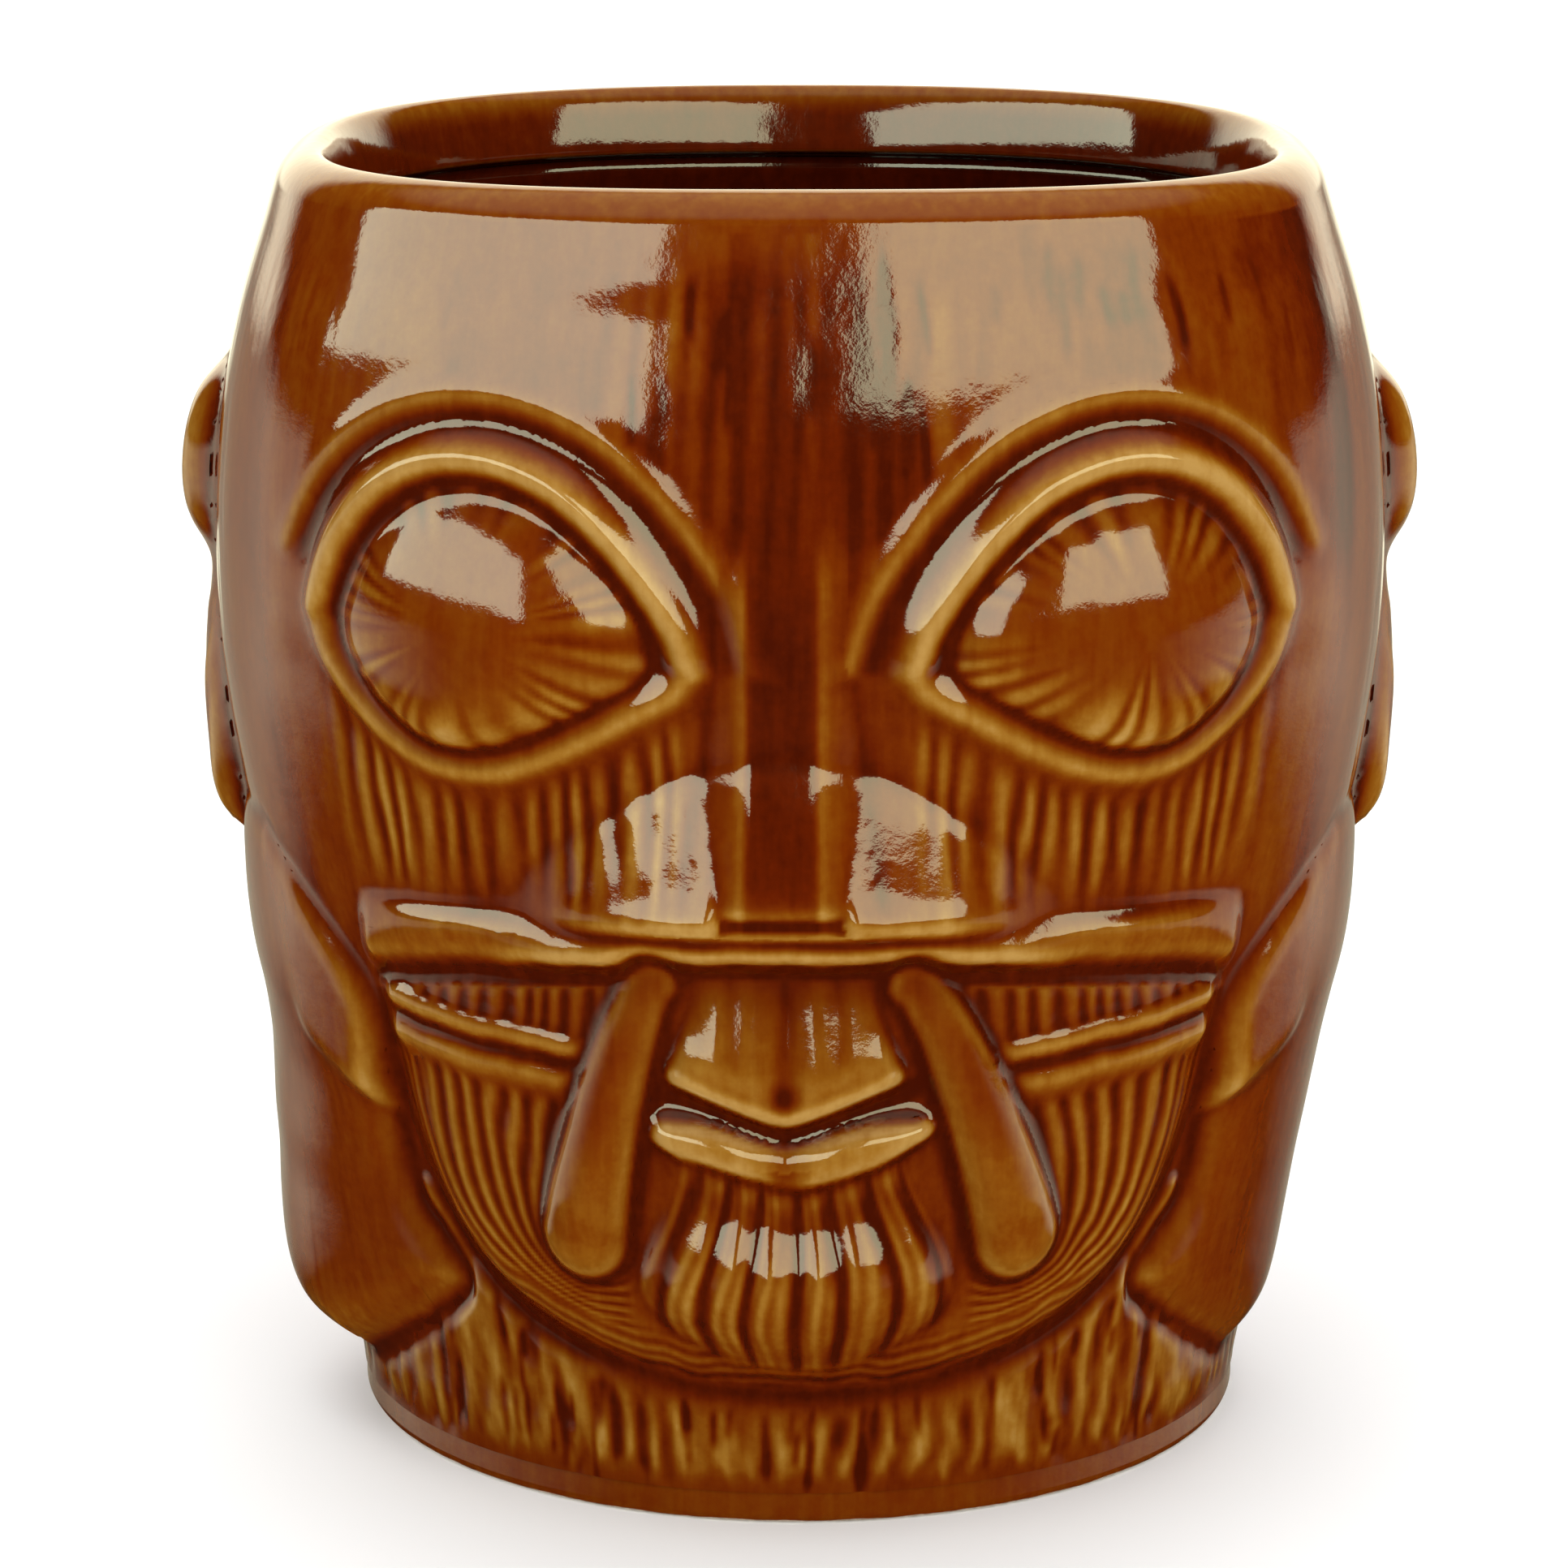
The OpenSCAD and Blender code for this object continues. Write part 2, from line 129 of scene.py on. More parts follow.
def curve(keys, x):
    """Smooth curve through a list of (x, y)."""
    kx, ky = np.array(keys, float).T
    x = np.clip(np.asarray(x, float), kx[0], kx[-1])
    slope = np.empty_like(ky)
    slope[1:-1] = (ky[2:] - ky[:-2]) / (kx[2:] - kx[:-2])
    slope[0] = (ky[1] - ky[0]) / (kx[1] - kx[0])
    slope[-1] = (ky[-1] - ky[-2]) / (kx[-1] - kx[-2])
    i = np.clip(np.searchsorted(kx, x, side="right") - 1, 0, len(kx) - 2)
    w = kx[i + 1] - kx[i]
    t = (x - kx[i]) / w
    return ((2 * t**3 - 3 * t**2 + 1) * ky[i] + (t**3 - 2 * t**2 + t) * w * slope[i]
            + (3 * t**2 - 2 * t**3) * ky[i + 1] + (t**3 - t**2) * w * slope[i + 1])


def cup_radius(phi, z):
    """Radius of the plain cup at an angle from the front (radians) and a height."""
    k = curve(SWELL, z / MUG_H)
    front = np.cos(phi) > 0
    a = FOOT_R + (HALF_W - FOOT_R) * k
    b = FOOT_R + (np.where(front, FRONT_D, BACK_D) - FOOT_R) * k
    n = 2 + np.where(front, 0.8, 0.3) * ease(z / MUG_H)
    return ((abs(np.sin(phi)) / a) ** n + (abs(np.cos(phi)) / b) ** n) ** (-1 / n)


def place(s, z, h):
    """Points at s and z, standing h out of the cup."""
    phi = s / ARC_R
    r = cup_radius(phi, z) + h
    return np.stack([r * np.sin(phi), -r * np.cos(phi), z], -1)


def spline(points, n=60):
    """Smooth path through a few points."""
    p = np.array(points, float)
    t = np.linspace(0, len(p) - 1, len(p))
    u = np.linspace(0, len(p) - 1, n)
    return np.stack([curve(list(zip(t, p[:, k])), u) for k in range(2)], -1)


# ---------------- the grid

# Columns lie closest over the face
half = np.concatenate([np.arange(0, 50, 0.22), np.arange(50, 82, 0.34),
                       np.linspace(82, math.pi * ARC_R, 80)])
COLS = np.concatenate([-half[-2:0:-1], half])
TOP = 366  # row at the lower edge of the rim
RIM_ROWS = 14  # rows above it, up to where the rim starts to roll in
ROWS = np.concatenate([np.linspace(FOOT_Z, RIM_Z, TOP + 1),
                       np.linspace(RIM_Z, MUG_H - RIM_ROLL, RIM_ROWS + 1)[1:]])
S, Z = np.meshgrid(COLS, ROWS, indexing="ij")


def window(lo_s, hi_s, lo_z, hi_z, side=1):
    """Part of the grid that covers a rectangle, and its s and z. Where side is -1, s is mirrored."""
    i0, i1 = np.searchsorted(COLS, sorted((lo_s * side, hi_s * side)))
    j0, j1 = np.searchsorted(ROWS, (lo_z, hi_z))
    w = slice(max(i0 - 1, 0), i1 + 1), slice(max(j0 - 1, 0), j1 + 1)
    return w, S[w] * side, Z[w]


def measure(path, reach, closed=False, side=1):
    """Window around a path, and there the distance to it (+ on its left), and the share along it."""
    lo, hi = path.min(0) - reach, path.max(0) + reach
    w, x, z = window(lo[0], hi[0], lo[1], hi[1], side)
    ends = np.vstack([path, path[:1]]) if closed else path
    best = np.full(x.shape, 1e9)
    sign = np.ones(x.shape)
    share = np.zeros(x.shape)
    run = np.concatenate([[0], np.cumsum(np.linalg.norm(np.diff(ends, axis=0), axis=1))])
    for k in range(len(ends) - 1):
        a, d = ends[k], ends[k + 1] - ends[k]
        length = np.linalg.norm(d)
        if length < 1e-9:
            continue
        t = np.clip(((x - a[0]) * d[0] + (z - a[1]) * d[1]) / length**2, 0, 1)
        dx, dz = x - a[0] - t * d[0], z - a[1] - t * d[1]
        dist = dx * dx + dz * dz
        near = dist < best
        best = np.where(near, dist, best)
        sign = np.where(near, np.sign(d[0] * dz - d[1] * dx + 1e-12), sign)
        share = np.where(near, (run[k] + t * length) / run[-1], share)
    return w, x, z, np.sqrt(best) * sign, share


# ---------------- outlines of the carving

# Crests of the lids, as shares of the eye's width from its inner corner and of its height from the bottom
CORNER_IN, CORNER_OUT, CORNER_RISE = (0, 0.347), (0.992, 0.47), 0.123
UPPER_LID = [CORNER_IN, (0.04, 0.491), (0.114, 0.636), (0.205, 0.776), (0.326, 0.908), (0.458, 0.982),
             (0.579, 1), (0.696, 0.969), (0.806, 0.882), (0.894, 0.75), (0.952, 0.61), CORNER_OUT]
LOWER_LID = [CORNER_IN, (0.051, 0.276), (0.15, 0.206), (0.289, 0.11), (0.429, 0.031), (0.549, 0),
             (0.674, 0.018), (0.78, 0.092), (0.879, 0.202), (0.956, 0.33), CORNER_OUT]


def lid_path():
    """Crest of both lids of the right eye, counter-clockwise from the outer corner."""
    low = np.array([EYE_IN, EYE_LOW])
    size = np.array([EYE_OUT - EYE_IN, EYE_TOP - EYE_LOW])
    upper = spline(UPPER_LID[::-1], 90)
    lower = spline(LOWER_LID, 80)
    return low + size * np.vstack([upper[:-1], lower[:-1]])


def jaw_low(s):
    """Lower edge of the jaw, a wide U with full corners."""
    u = np.clip(abs(s) / (JAW_HALF + 0.2), 0, 1)
    return CHIN_Z + JAW_RISE * (1 - (1 - u**2.3) ** 0.3)


def jaw_path():
    """The jaw's border, from its left end round the chin to its right end."""
    s = JAW_HALF * np.sin(np.linspace(-math.pi / 2, math.pi / 2, 110))
    low = np.stack([s, jaw_low(s)], -1)
    return np.vstack([[(-JAW_HALF, MOUTH_Z)], low, [(JAW_HALF, MOUTH_Z)]])


def mouth_line(s):
    """Height of the ridge over the mouth."""
    return MOUTH_Z - 2.9 * (s / 34) ** 2


def tusk_path(side):
    """Middle line of a tusk, from its tip down to the middle of its round end."""
    t = np.linspace(0, 1, 40)
    top, low = MOUTH_Z - 2.9, TUSK_LOW + 3.5
    return np.stack([TUSK_TIP[side] + (TUSK_END - TUSK_TIP[side]) * t**0.72, top + (low - top) * t], -1)


def lobe_inner(z):
    return curve([(6.5, 50), (9, 44.5), (12, 38.5), (14.5, 34.6), (16.5, 32.6), (19, 34), (22.5, 36.6),
                  (26, 37.2), (32, 36.3), (38, 36), (42, 38.3), (46, 42.8), (50, 48.6)], z)


def lobe_outer(z):
    return curve([(6.5, 60), (12, 74), (19, 79), (30, 80), (38, 78), (43.5, 70), (50, 58)], z)


def outline(outer, inner, z):
    """Closed path up one side and down the other."""
    return np.vstack([np.stack([outer, z], -1), np.stack([inner, z], -1)[::-1]])


def lobe_path():
    """Outline of the right earlobe."""
    z = np.linspace(6.6, 50, 60)
    return outline(lobe_outer(z), lobe_inner(z), z)


def ear_path():
    """Outline of an ear: a round upper lobe and a longer lower one, with a waist between them."""
    waist, waist_z = 3.5, 67
    z = np.linspace(44, 84, 40)
    half_s = waist + np.where(z > waist_z, 4.5 * arch((z - 75.5) / 8.6), 3.5 * arch((z - 56) / 12.1))
    half_s = np.minimum(half_s, waist + abs(z - waist_z) ** 0.8 * 1.4)
    return outline(EAR_S + half_s, EAR_S - half_s, z)


# ---------------- height field

H = np.zeros_like(S)
# TONE also holds painted shade on the forehead, the nose and the slit over the mouth
TONE = np.zeros_like(S)  # extra darkness (+) or lightness (-) of the glaze
AREA = {}  # piece name to its signed field, + inside


def blend_in(w, height, weight, tone=0.0):
    """Blend a height into a window of the field where weight is 1, and shade the glaze there."""
    H[w] = H[w] + (height - H[w]) * weight
    TONE[w] = TONE[w] * (1 - weight) + tone * weight


def soft_min(a, b, k):
    """Smaller of two values, with a rounded corner."""
    m = np.clip(0.5 + 0.5 * (b - a) / k, 0, 1)
    return b + (a - b) * m - k * m * (1 - m)


def bump(x, width):
    """Bell of height 1 over x = 0."""
    return np.exp(-np.square(x / width))


def wander(x, seed, size=1.0):
    """Smooth repeatable noise of about -1 to 1 along x, with features about size long."""
    r = np.random.RandomState(seed)
    total = sum(np.sin(x / size * (0.7 + 0.9 * k) + r.uniform(0, 6.28)) / (1 + 0.6 * k) for k in range(4))
    return total / 1.8


def waves(turns, shift=0.0):
    """Even wave from 0 to 1, once for each turn."""
    return 0.5 + 0.5 * np.cos(2 * math.pi * turns + shift)


def flutes(x, spacing, seed, sharp=1.6):
    """Profile of irregular grooves across x: 0 on the ridges and 1 in the grooves."""
    return waves(x / spacing + 0.3 * wander(x, seed, spacing * 1.5)) ** sharp


def climb(inside, width):
    """Rise from 0 at a border to 1, steep at first, within a few widths."""
    return 1 - np.exp(-np.clip(inside, 0, None) / width)


def least(*fields):
    """Smallest of several fields at each point."""
    return np.minimum.reduce(fields)


def gouges(count, region, size, depth, seed, shade=0.0):
    """Short upright cuts scattered over a region (s0, s1, z0, z1)."""
    r = np.random.RandomState(seed)
    for _ in range(count):
        s0, z0 = r.uniform(region[0], region[1]), r.uniform(region[2], region[3])
        long = size * r.uniform(0.5, 1.5)
        wide = r.uniform(0.28, 0.5)
        deep = depth * r.uniform(0.4, 1.2)
        lean = r.uniform(-0.05, 0.05)
        w, s, z = window(s0 - 3, s0 + 3, z0 - long, z0 + long)
        ds = s - s0 - lean * (z - z0) - 0.15 * np.sin((z - z0) * 0.6 + s0)
        cut = bump(ds, wide) * ease((1 - abs(z - z0) / long) * 1.5)
        H[w] -= deep * cut
        TONE[w] += shade * cut


def wall_marks():
    """Upright tool marks all over the wall."""
    bend = 0.5 * np.sin(Z / 9 + S / 7)
    top = ease(96 - Z, 6)
    H[:] += 0.1 * np.sin(S / 11 + 1.1) * np.sin(Z / 17) * ease(Z, 30)
    H[:] -= 0.006 * flutes(S + bend, 2.3, 3) * top
    back = ease(abs(S) - 50, 14) * ease(92 - Z, 5) * ease(Z - 13, 4)
    cuts = flutes(S + 0.8 * bend, 2.6, 8, 1.3)
    H[:] -= back * (0.24 * cuts + 0.07 * flutes(S + bend, 0.9, 18, 1.2))
    TONE[:] += back * (0.16 * cuts - 0.06)
    temple = ease(abs(S) - 24, 8) * ease(Z - 78, 10) * top * ease(60 - abs(S), 8)
    H[:] -= 0.05 * temple * flutes(S + 0.6 * bend, 1.5, 9, 1.3)
    TONE[:] += 0.1 * wander(S + bend, 12, 2.4) * (0.4 + 0.6 * top)
    gouges(40, (-55, 55, 84, 96), 4.0, 0.015, 22, 0.08)
    for seed, s0, s1 in ((23, -135, -50), (24, 50, 135)):
        gouges(150, (s0, s1, 16, 90), 6.0, 0.12, seed, 0.1)


def forehead():
    """Brow plane that stands over the eyes and narrows into the nose; painted shade darkens its middle in a
    T.
    """
    w, s, z = window(-48, 48, 58, 97)
    plane = ease(46 - abs(s), 8) * ease(95 - z, 5) * ease(z - 64, 6)
    H[w] += 0.35 * plane
    cuts = flutes(s + 0.3 * np.sin(z / 9), 2.1, 5, 1.4)
    middle = ease(17 - abs(s + 1), 6) * ease(z - 66, 8) * ease(96 - z, 5)
    H[w] -= 0.008 * middle * cuts
    # Painted shade: the middle is darkened in a T, wide over the brows and narrow down to the nose, where the
    # glaze mirrors no light; the shade varies in streaks
    half = curve([(58, 3), (68, 3.6), (74, 5.5), (79, 11), (83, 12), (88, 8.5), (97, 7.5)], z)
    run = ease(half + 1.2 * wander(s + z / 3, 15, 1.5) - abs(s - NOSE_S), 3.5)
    TONE[w] += 0.2 * run * ease(97 - z, 4) + 0.16 * middle * (cuts - 0.35)
    TONE[w] += 0.1 * run * wander(s + 0.04 * z, 16, 0.9) * ease(z - 66, 6)
    gouges(16, (-13, 11, 80, 95), 3.5, 0.02, 21, 0.34)
    gouges(10, (12, 34, 88, 95), 3.0, 0.02, 25, 0.25)
    dark_end = 0.2 * ease(s - 31, 6) * ease(48 - s, 4) * ease(z - 68, 8)
    TONE[w] += dark_end * (0.7 + wander(s, 26, 2.2))


def cheek(side):
    """Upright grooves between the lower lid and the mouth."""
    w, x, z = window(4, 40, 46, 66, side)
    lean = 0.05 * (z - 54) * (x - 20) / 14
    area = ease(x - 7.0, 2.5) * ease(37 - x, 6) * ease(z - MOUTH_Z - 0.8, 3.5)
    wave = 0.1 * np.sin(z / 1.9 + x / 2.5) + 0.18 * wander(z + 3 * x, 35 + side, 3.0)
    cuts = flutes(x + lean + wave, 1.85, 31 + side, 1.2)
    ragged = ease(z - 49.5 - 2.5 * wander(x, 33 + side, 0.9), 4)
    depth = (0.35 + 0.65 * ragged) * (0.75 + 0.25 * wander(x - 0.1 * z, 37 + side, 1.8))
    H[w] += area * (0.12 - 0.42 * depth * cuts)
    TONE[w] += area * (0.44 * depth * cuts - 0.3 * depth)


# Heights across the upper and the lower lid, against the distance from the crest (+ towards the eyeball)
LID_UP = [(-7.2, 0.35), (-5.5, 0.46), (-4.7, 0.62), (-4.2, 0.66), (-3.7, 0.42), (-3.2, -0.05), (-2.75, -0.36),
          (-2.25, -0.32), (-1.65, 0.05), (-1.0, 0.85), (-0.4, 1.4), (0.2, 1.5), (0.75, 1.15), (1.2, 0.35),
          (1.55, -0.25), (1.9, -0.45), (3, -0.5)]
LID_LOW = [(-4.5, 0), (-2.4, 0.1), (-1.2, 0.36), (-0.6, 0.85), (-0.1, 1.15), (0.35, 1.08), (0.9, 0.82),
           (1.5, 0.42), (2.1, -0.25), (3, -0.5)]
# How far the eyeball falls back towards the nose, against the distance from its middle
NASAL_FALL = [(-14, 0), (0, 0), (2, 0.12), (4, 0.5), (6, 1.0), (8, 1.38), (10, 1.68), (12, 1.9), (14, 2.05)]


def eye(side):
    """Brow fold, lid and rayed eyeball of one eye."""
    w, x, z, d, _ = measure(lid_path(), 12, closed=True, side=side)
    across = (x - EYE_IN) / (EYE_OUT - EYE_IN)
    corners = EYE_LOW + (EYE_TOP - EYE_LOW) * (CORNER_IN[1] + CORNER_RISE * across)
    up = ease(z - corners + 0.9, 1.8)
    temple_end = ease(corners + 4.5 - z, 3) * ease(across - 0.75, 0.12)
    up = up * (1 - temple_end * ease(-0.5 - d, 1.0))
    lid = up * curve(LID_UP, d) + (1 - up) * curve(LID_LOW, d)
    # The eyeball: a dome, blunt at the nose, with rays cut round its smooth middle
    inside = soft_min(d - 1.75, x - EYE_IN - 2.7, 1.6)
    mid_s, mid_z, apex_z = EYE_IN + 14.1, EYE_LOW + 11.7, EYE_LOW + 6.4
    half_w, half_h, ray_count = 12, 9.6, 27
    dome = np.clip(((x - mid_s) / half_w) ** 2 + ((z - mid_z) / half_h) ** 2, 0, 1)
    edge = climb(inside, 0.8)
    sphere = 3.5 - (z - apex_z) ** 2 / 56 - curve(NASAL_FALL, mid_s - x)
    sphere = sphere - np.clip(x - mid_s, 0, 14) ** 2 / 46
    ball = -0.5 + (sphere + 0.5) * (0.25 + 0.75 * edge)
    theta = np.arctan2((z - mid_z + 0.6) / 9.5, (x - mid_s - 0.5) / half_w)
    turn = theta + 0.07 * np.sin(5 * theta + side) + 0.04 * np.sin(11 * theta)
    rays = (0.5 + 0.5 * np.cos(ray_count * turn)) ** 1.5
    core = 0.36 + 0.14 * np.sin(2 * theta + 1.5 * side) + 0.07 * np.sin(13 * theta)
    mask = ease(np.sqrt(dome) - core, 0.45) * ease(inside, 0.5)
    mask = mask * (0.75 + 0.25 * np.sin(7 * theta + side))
    ball = ball - 0.08 * mask * rays
    on_ball = ease(inside / 0.35 + 0.3)
    height = lid * (1 - on_ball) + ball * on_ball
    tone = -0.2 * bump(d - 0.1, 1.0) * (1 - on_ball)
    tone = tone + on_ball * (mask * (0.46 * rays - 0.26) + 0.04 * (1 - mask))
    tone = tone + 0.08 * up * bump(d + 2.5, 0.9) - 0.16 * up * bump(d + 4.3, 0.5)
    reach = up * ease(d + 6.4, 1.6) + (1 - up) * ease(d + 3.4, 2.4)
    keep = H[w] * (d < -1.0) * 0.3
    blend_in(w, height + keep * (1 - up), reach, tone)
    name = SIDE_NAME[side]
    AREA["eyeball_" + name] = (w, inside)
    AREA["eyelid_" + name] = (w, d + np.where(up > 0.5, 2.4, 1.6))
    AREA["brow_" + name] = (w, np.minimum(d + 5.2, (up - 0.5) * 3))


def nose():
    """Straight nose with a flat front and two bevelled sides, which grows out of the forehead."""
    w, s, z = window(-16, 16, NOSE_Z - 3, 80)
    x = abs(s - NOSE_S)
    up = np.clip((z - NOSE_Z) / 20, 0, 1.6)
    flat = 2.55
    foot = flat + 4.2 - 2.2 * np.clip(up, 0, 1)
    top = NOSE_H - (NOSE_H - NOSE_TOP_H) * np.clip(up, 0, 1) - 0.25 * np.clip(up - 1, 0, 1)
    u = np.clip((x - flat) / (foot - flat), 0, 1.2)
    profile = np.where(x < flat, top - 0.06 * (1 - (x / flat) ** 2), top * (1 - u) + 0.05)
    profile = profile * (1 - 0.2 * ease(58 - z, 10)) + 0.66 * H[w]
    crease = 0.22 * bump(x - foot - 0.2, 0.7) * ease(1.15 - up)
    base = ease(z - NOSE_Z, 1.6)
    weight = ease(foot + 0.7 - x, 0.9) * ease(z - NOSE_Z + 0.3, 0.6) * ease(78 - z, 6)
    blend_in(w, profile * (0.3 + 0.7 * base), weight * (profile > H[w] * 0.9), 0.0)
    H[w] -= crease * ease(z - NOSE_Z, 3)
    # Painted shade darkens the flat front, where the glaze mirrors no light; the glaze thins to gold along
    # the front's edges
    TONE[w] += 0.3 * weight * ease(flat + 0.2 - x, 0.7) - 0.1 * bump(x - flat - 0.3, 0.45) * weight
    TONE[w] += 0.15 * bump(x - foot - 0.3, 0.6) * ease(z - NOSE_Z, 3) * ease(1.1 - up)
    AREA["nose"] = (w, least(foot - 0.1 - x, z - NOSE_Z + 0.1, (77 - z) * 0.7))


def muzzle():
    """The cheeks swell forward beside the foot of the nose, over the mouth."""
    w, s, z = window(-30, 30, MOUTH_Z - 1, 68)
    s = s - NOSE_S
    fall = 61.5 - 0.028 * s * s
    swell = 0.39 * np.clip(fall - z, 0, 60) * ease(fall - z, 2)
    swell = soft_min(swell, 5.2 + 0 * s, 0.8) * ease(24 - abs(s), 13)
    H[w] += swell * ease(z - MOUTH_Z + 0.2, 2.6)


# Heights across the ridge over the mouth, against the height over its middle line
RIDGE = [(-3.6, 0.5), (-3.0, 0.2), (-2.2, -0.1), (-1.5, 0.0), (-0.8, 0.5), (-0.3, 0.95), (0.3, 1.0),
         (1.0, 0.84), (1.7, 0.62), (3.0, 0.3), (4.8, 0.0)]


def mouth_ridge():
    """Long ridge over the mouth, with the slit under it, which painted shade darkens."""
    w, s, z = window(-39, 39, MOUTH_Z - 10, MOUTH_Z + 6)
    d = z - mouth_line(s) + 0.15 * wander(s, 41, 2.0)
    ends = ease(36.0 - abs(s), 2.0)
    hold = ease(d + 0.2, 2.5)
    weight = ends * ease(d + 3.6, 0.9) * ease(4.6 - d, 3)
    # The slit under the ridge is shallow: painted shade darkens it in place of depth, over glaze that pools
    # there. The crest is lighter where the glaze runs thin
    tone = 0.34 * bump(d + 2.2, 0.8) - 0.1 * bump(d - 0.2, 0.6)
    lift = 2.4 * ease(24 - abs(s - NOSE_S), 13) * ease(d + 1.5, 1.0)
    blend_in(w, curve(RIDGE, d) + (1 - hold) * lift + hold * H[w], weight, tone + hold * TONE[w])
    AREA["mouth_ridge"] = (w, least(1.6 - d, d + 1.9, 35.0 - abs(s)))


def jaw_height(s, z):
    side = ease(JAW_HALF - abs(s), 9)
    return (0.6 + 0.4 * side) * (0.8 + (JAW_H - 0.8) * ease(46 - z, 26))


def collar():
    """Neck between the jaw and the foot, with rough upright strokes."""
    w, s, z = window(-136, 136, 0, 24)
    top = np.where(abs(s) < 37, 30, 12.5)
    body = ease(top - z, 1.5)
    height = 0.45 + 0.45 * ease(z - FOOT_Z, 3.5)
    wave = 0.5 * np.sin(z / 3.1 + s / 5) + 0.25 * np.sin(z / 1.7)
    broad = flutes(s + wave, 2.9, 51, 0.9)
    rough = np.clip(0.55 + 0.55 * wander(s + 0.3 * z, 53, 2.6) + 0.2 * wander(z - s, 56, 2.0), 0, 1.2)
    marks = ease(z - 2.8 - 0.8 * wander(s, 57, 1.0), 1.8)
    under_jaw = ease(jaw_low(s) - 0.5 - z, 4)
    marks = marks * np.where(abs(s) < JAW_HALF, under_jaw, 1)
    height = height - marks * (0.3 * broad * rough + 0.08 * flutes(s - wave, 0.9, 52, 1.2))
    tone = marks * (0.5 * broad * rough - 0.28 + 0.14 * wander(s + 0.5 * z, 58, 1.1))
    blend_in(w, height, body, tone + 0.04 * ease(4.5 - z, 2.5))
    gouges(70, (-40, 40, 4, 16), 3.0, 0.2, 54, 0.3)


def jaw():
    """Raised U-shaped jaw, with strands along its border and grooves that follow it."""
    w, s, z, d, _ = measure(jaw_path(), 34)
    lip = curve([(-2.6, 0), (-1.5, -0.08), (-0.6, -0.08), (0.4, 0.2), (1.5, 0.6), (3, 0.86), (5, 1)], d)
    weight = ease(d + 2.6, 1.6) * ease(MOUTH_Z + 1.5 - z)
    near_foot = 0.75 * ease(14 - z, 3) * (1 - ease(d, 1.5))
    height = np.where(d > 0.0, jaw_height(s, z) * lip, lip) + near_foot
    blend_in(w, height, weight, 0.16 * bump(d + 0.3, 1.3) * (z < 40))
    strands = ease(d - 0.1, 0.5) * ease(4.8 - d, 1.5) * ease(40 - z, 5)
    cuts = flutes(d + 0.4 * wander(s, 61, 2.2), 1.15, 62, 1.1)
    H[w] -= 0.2 * strands * cuts
    TONE[w] += strands * (0.22 * cuts - 0.1)
    AREA["jaw_plate"] = (w, np.minimum(d - 0.1, mouth_line(s) - 1.9 - z))
    # Between its border and the tusks, grooves turn from the one direction to the other
    inner = np.full(d.shape, 99.0)
    for side in (1, -1):
        wt, _, _, dt, _ = measure(tusk_path(side), 26, side=side)
        field = np.full(S.shape, 99.0)
        field[wt] = abs(dt) - BORDER
        inner = np.minimum(inner, field[w])
    out = np.clip(d - BORDER, 0, None)
    share = out / (out + np.clip(inner, 0.01, None))
    under_lip = 35.6 + 0.2 * (abs(s) - 20)
    area = (ease(d - BORDER, 1.2) * ease(inner - 0.3, 0.7) * ease(under_lip - z, 2.5)
            * ease(abs(s) - 13, 2))
    cuts = waves(share * 6.5 + 0.16 * wander(s + z / 2, 63, 2)) ** 1.1
    H[w] -= 0.34 * area * cuts
    TONE[w] += area * (0.38 * cuts - 0.22)


def lips():
    """The small mouth between the tusks: a cleft upper lip, the opening and the rolled lower lip."""
    w, s, z = window(-17, 15, 24, MOUTH_Z)
    base = jaw_height(s, z)
    s = s - LIP_S
    a = np.sqrt(s * s + 1.2) - 0.4
    low = LIP_Z + 0.41 * a
    high = MOUTH_Z - 2.4
    wide = 9.4 - 2.2 * ease(z - 35, 8)
    inside = soft_min(soft_min(z - low, (wide - abs(s)) * 1.1, 0.8), high - z, 1.0)
    u = np.clip((z - low) / (high - low), 0, 1)
    face = (3.6 * (1 - u) - 0.2 * u) * arch(s / 14)
    cleft = bump(s, 0.8) * ease(u * 3) * 0.45
    drop = 0.6 * np.exp(-((s / 1.3) ** 2 + ((z - low - 2.6) / 1.1) ** 2))
    border = 0.3 * bump(z - low - 0.8, 0.7) - 0.22 * bump(z - low - 2.0, 0.6)
    facets = 0.08 * flutes(s + 1, 2.6, 71, 1.1) * ease(u - 0.25, 0.2)
    up = base + (face - cleft - drop + border - facets) * climb(inside, 0.8) - 0.3
    tone = 0.3 * cleft + 0.5 * drop + 0.8 * facets - 0.15 * ease(inside, 1.2)
    tone = tone - 0.12 * bump(z - low - 0.8, 0.7)
    # The opening under the upper lip
    mid = low - 0.8
    slit = bump(z - mid, 0.8) * ease(11.8 - abs(s), 1.6)
    blend_in(w, base - 0.7, slit, 0.22)
    blend_in(w, up, ease(inside + 0.3, 0.6), tone)
    AREA["upper_lip"] = (w, inside)
    # Lower lip: a roll in two halves with a notch
    roll_mid = ROLL_Z + 0.31 * a
    half_w = np.clip(1.95 + 0.35 * bump(a - 4.5, 3) - 0.5 * ease(a - 6, 4), 0.1, None)
    half_w = half_w * arch(s / 11.4) ** 0.5 + 0.02
    notch = bump(s, 1.6)
    roll = arch((z - roll_mid) / half_w) ** 0.8
    height = base - 0.1 + (2.3 - 0.6 * notch) * roll * (0.6 + 0.4 * arch(s / 11.5))
    lip_in = half_w - abs(z - roll_mid)
    blend_in(w, height, ease(lip_in + 0.2, 0.6), -0.1 * (1 - notch) + 0.25 * notch * (z < roll_mid))
    AREA["lower_lip"] = (w, np.minimum(lip_in + 0.1, 10.9 - abs(s)))


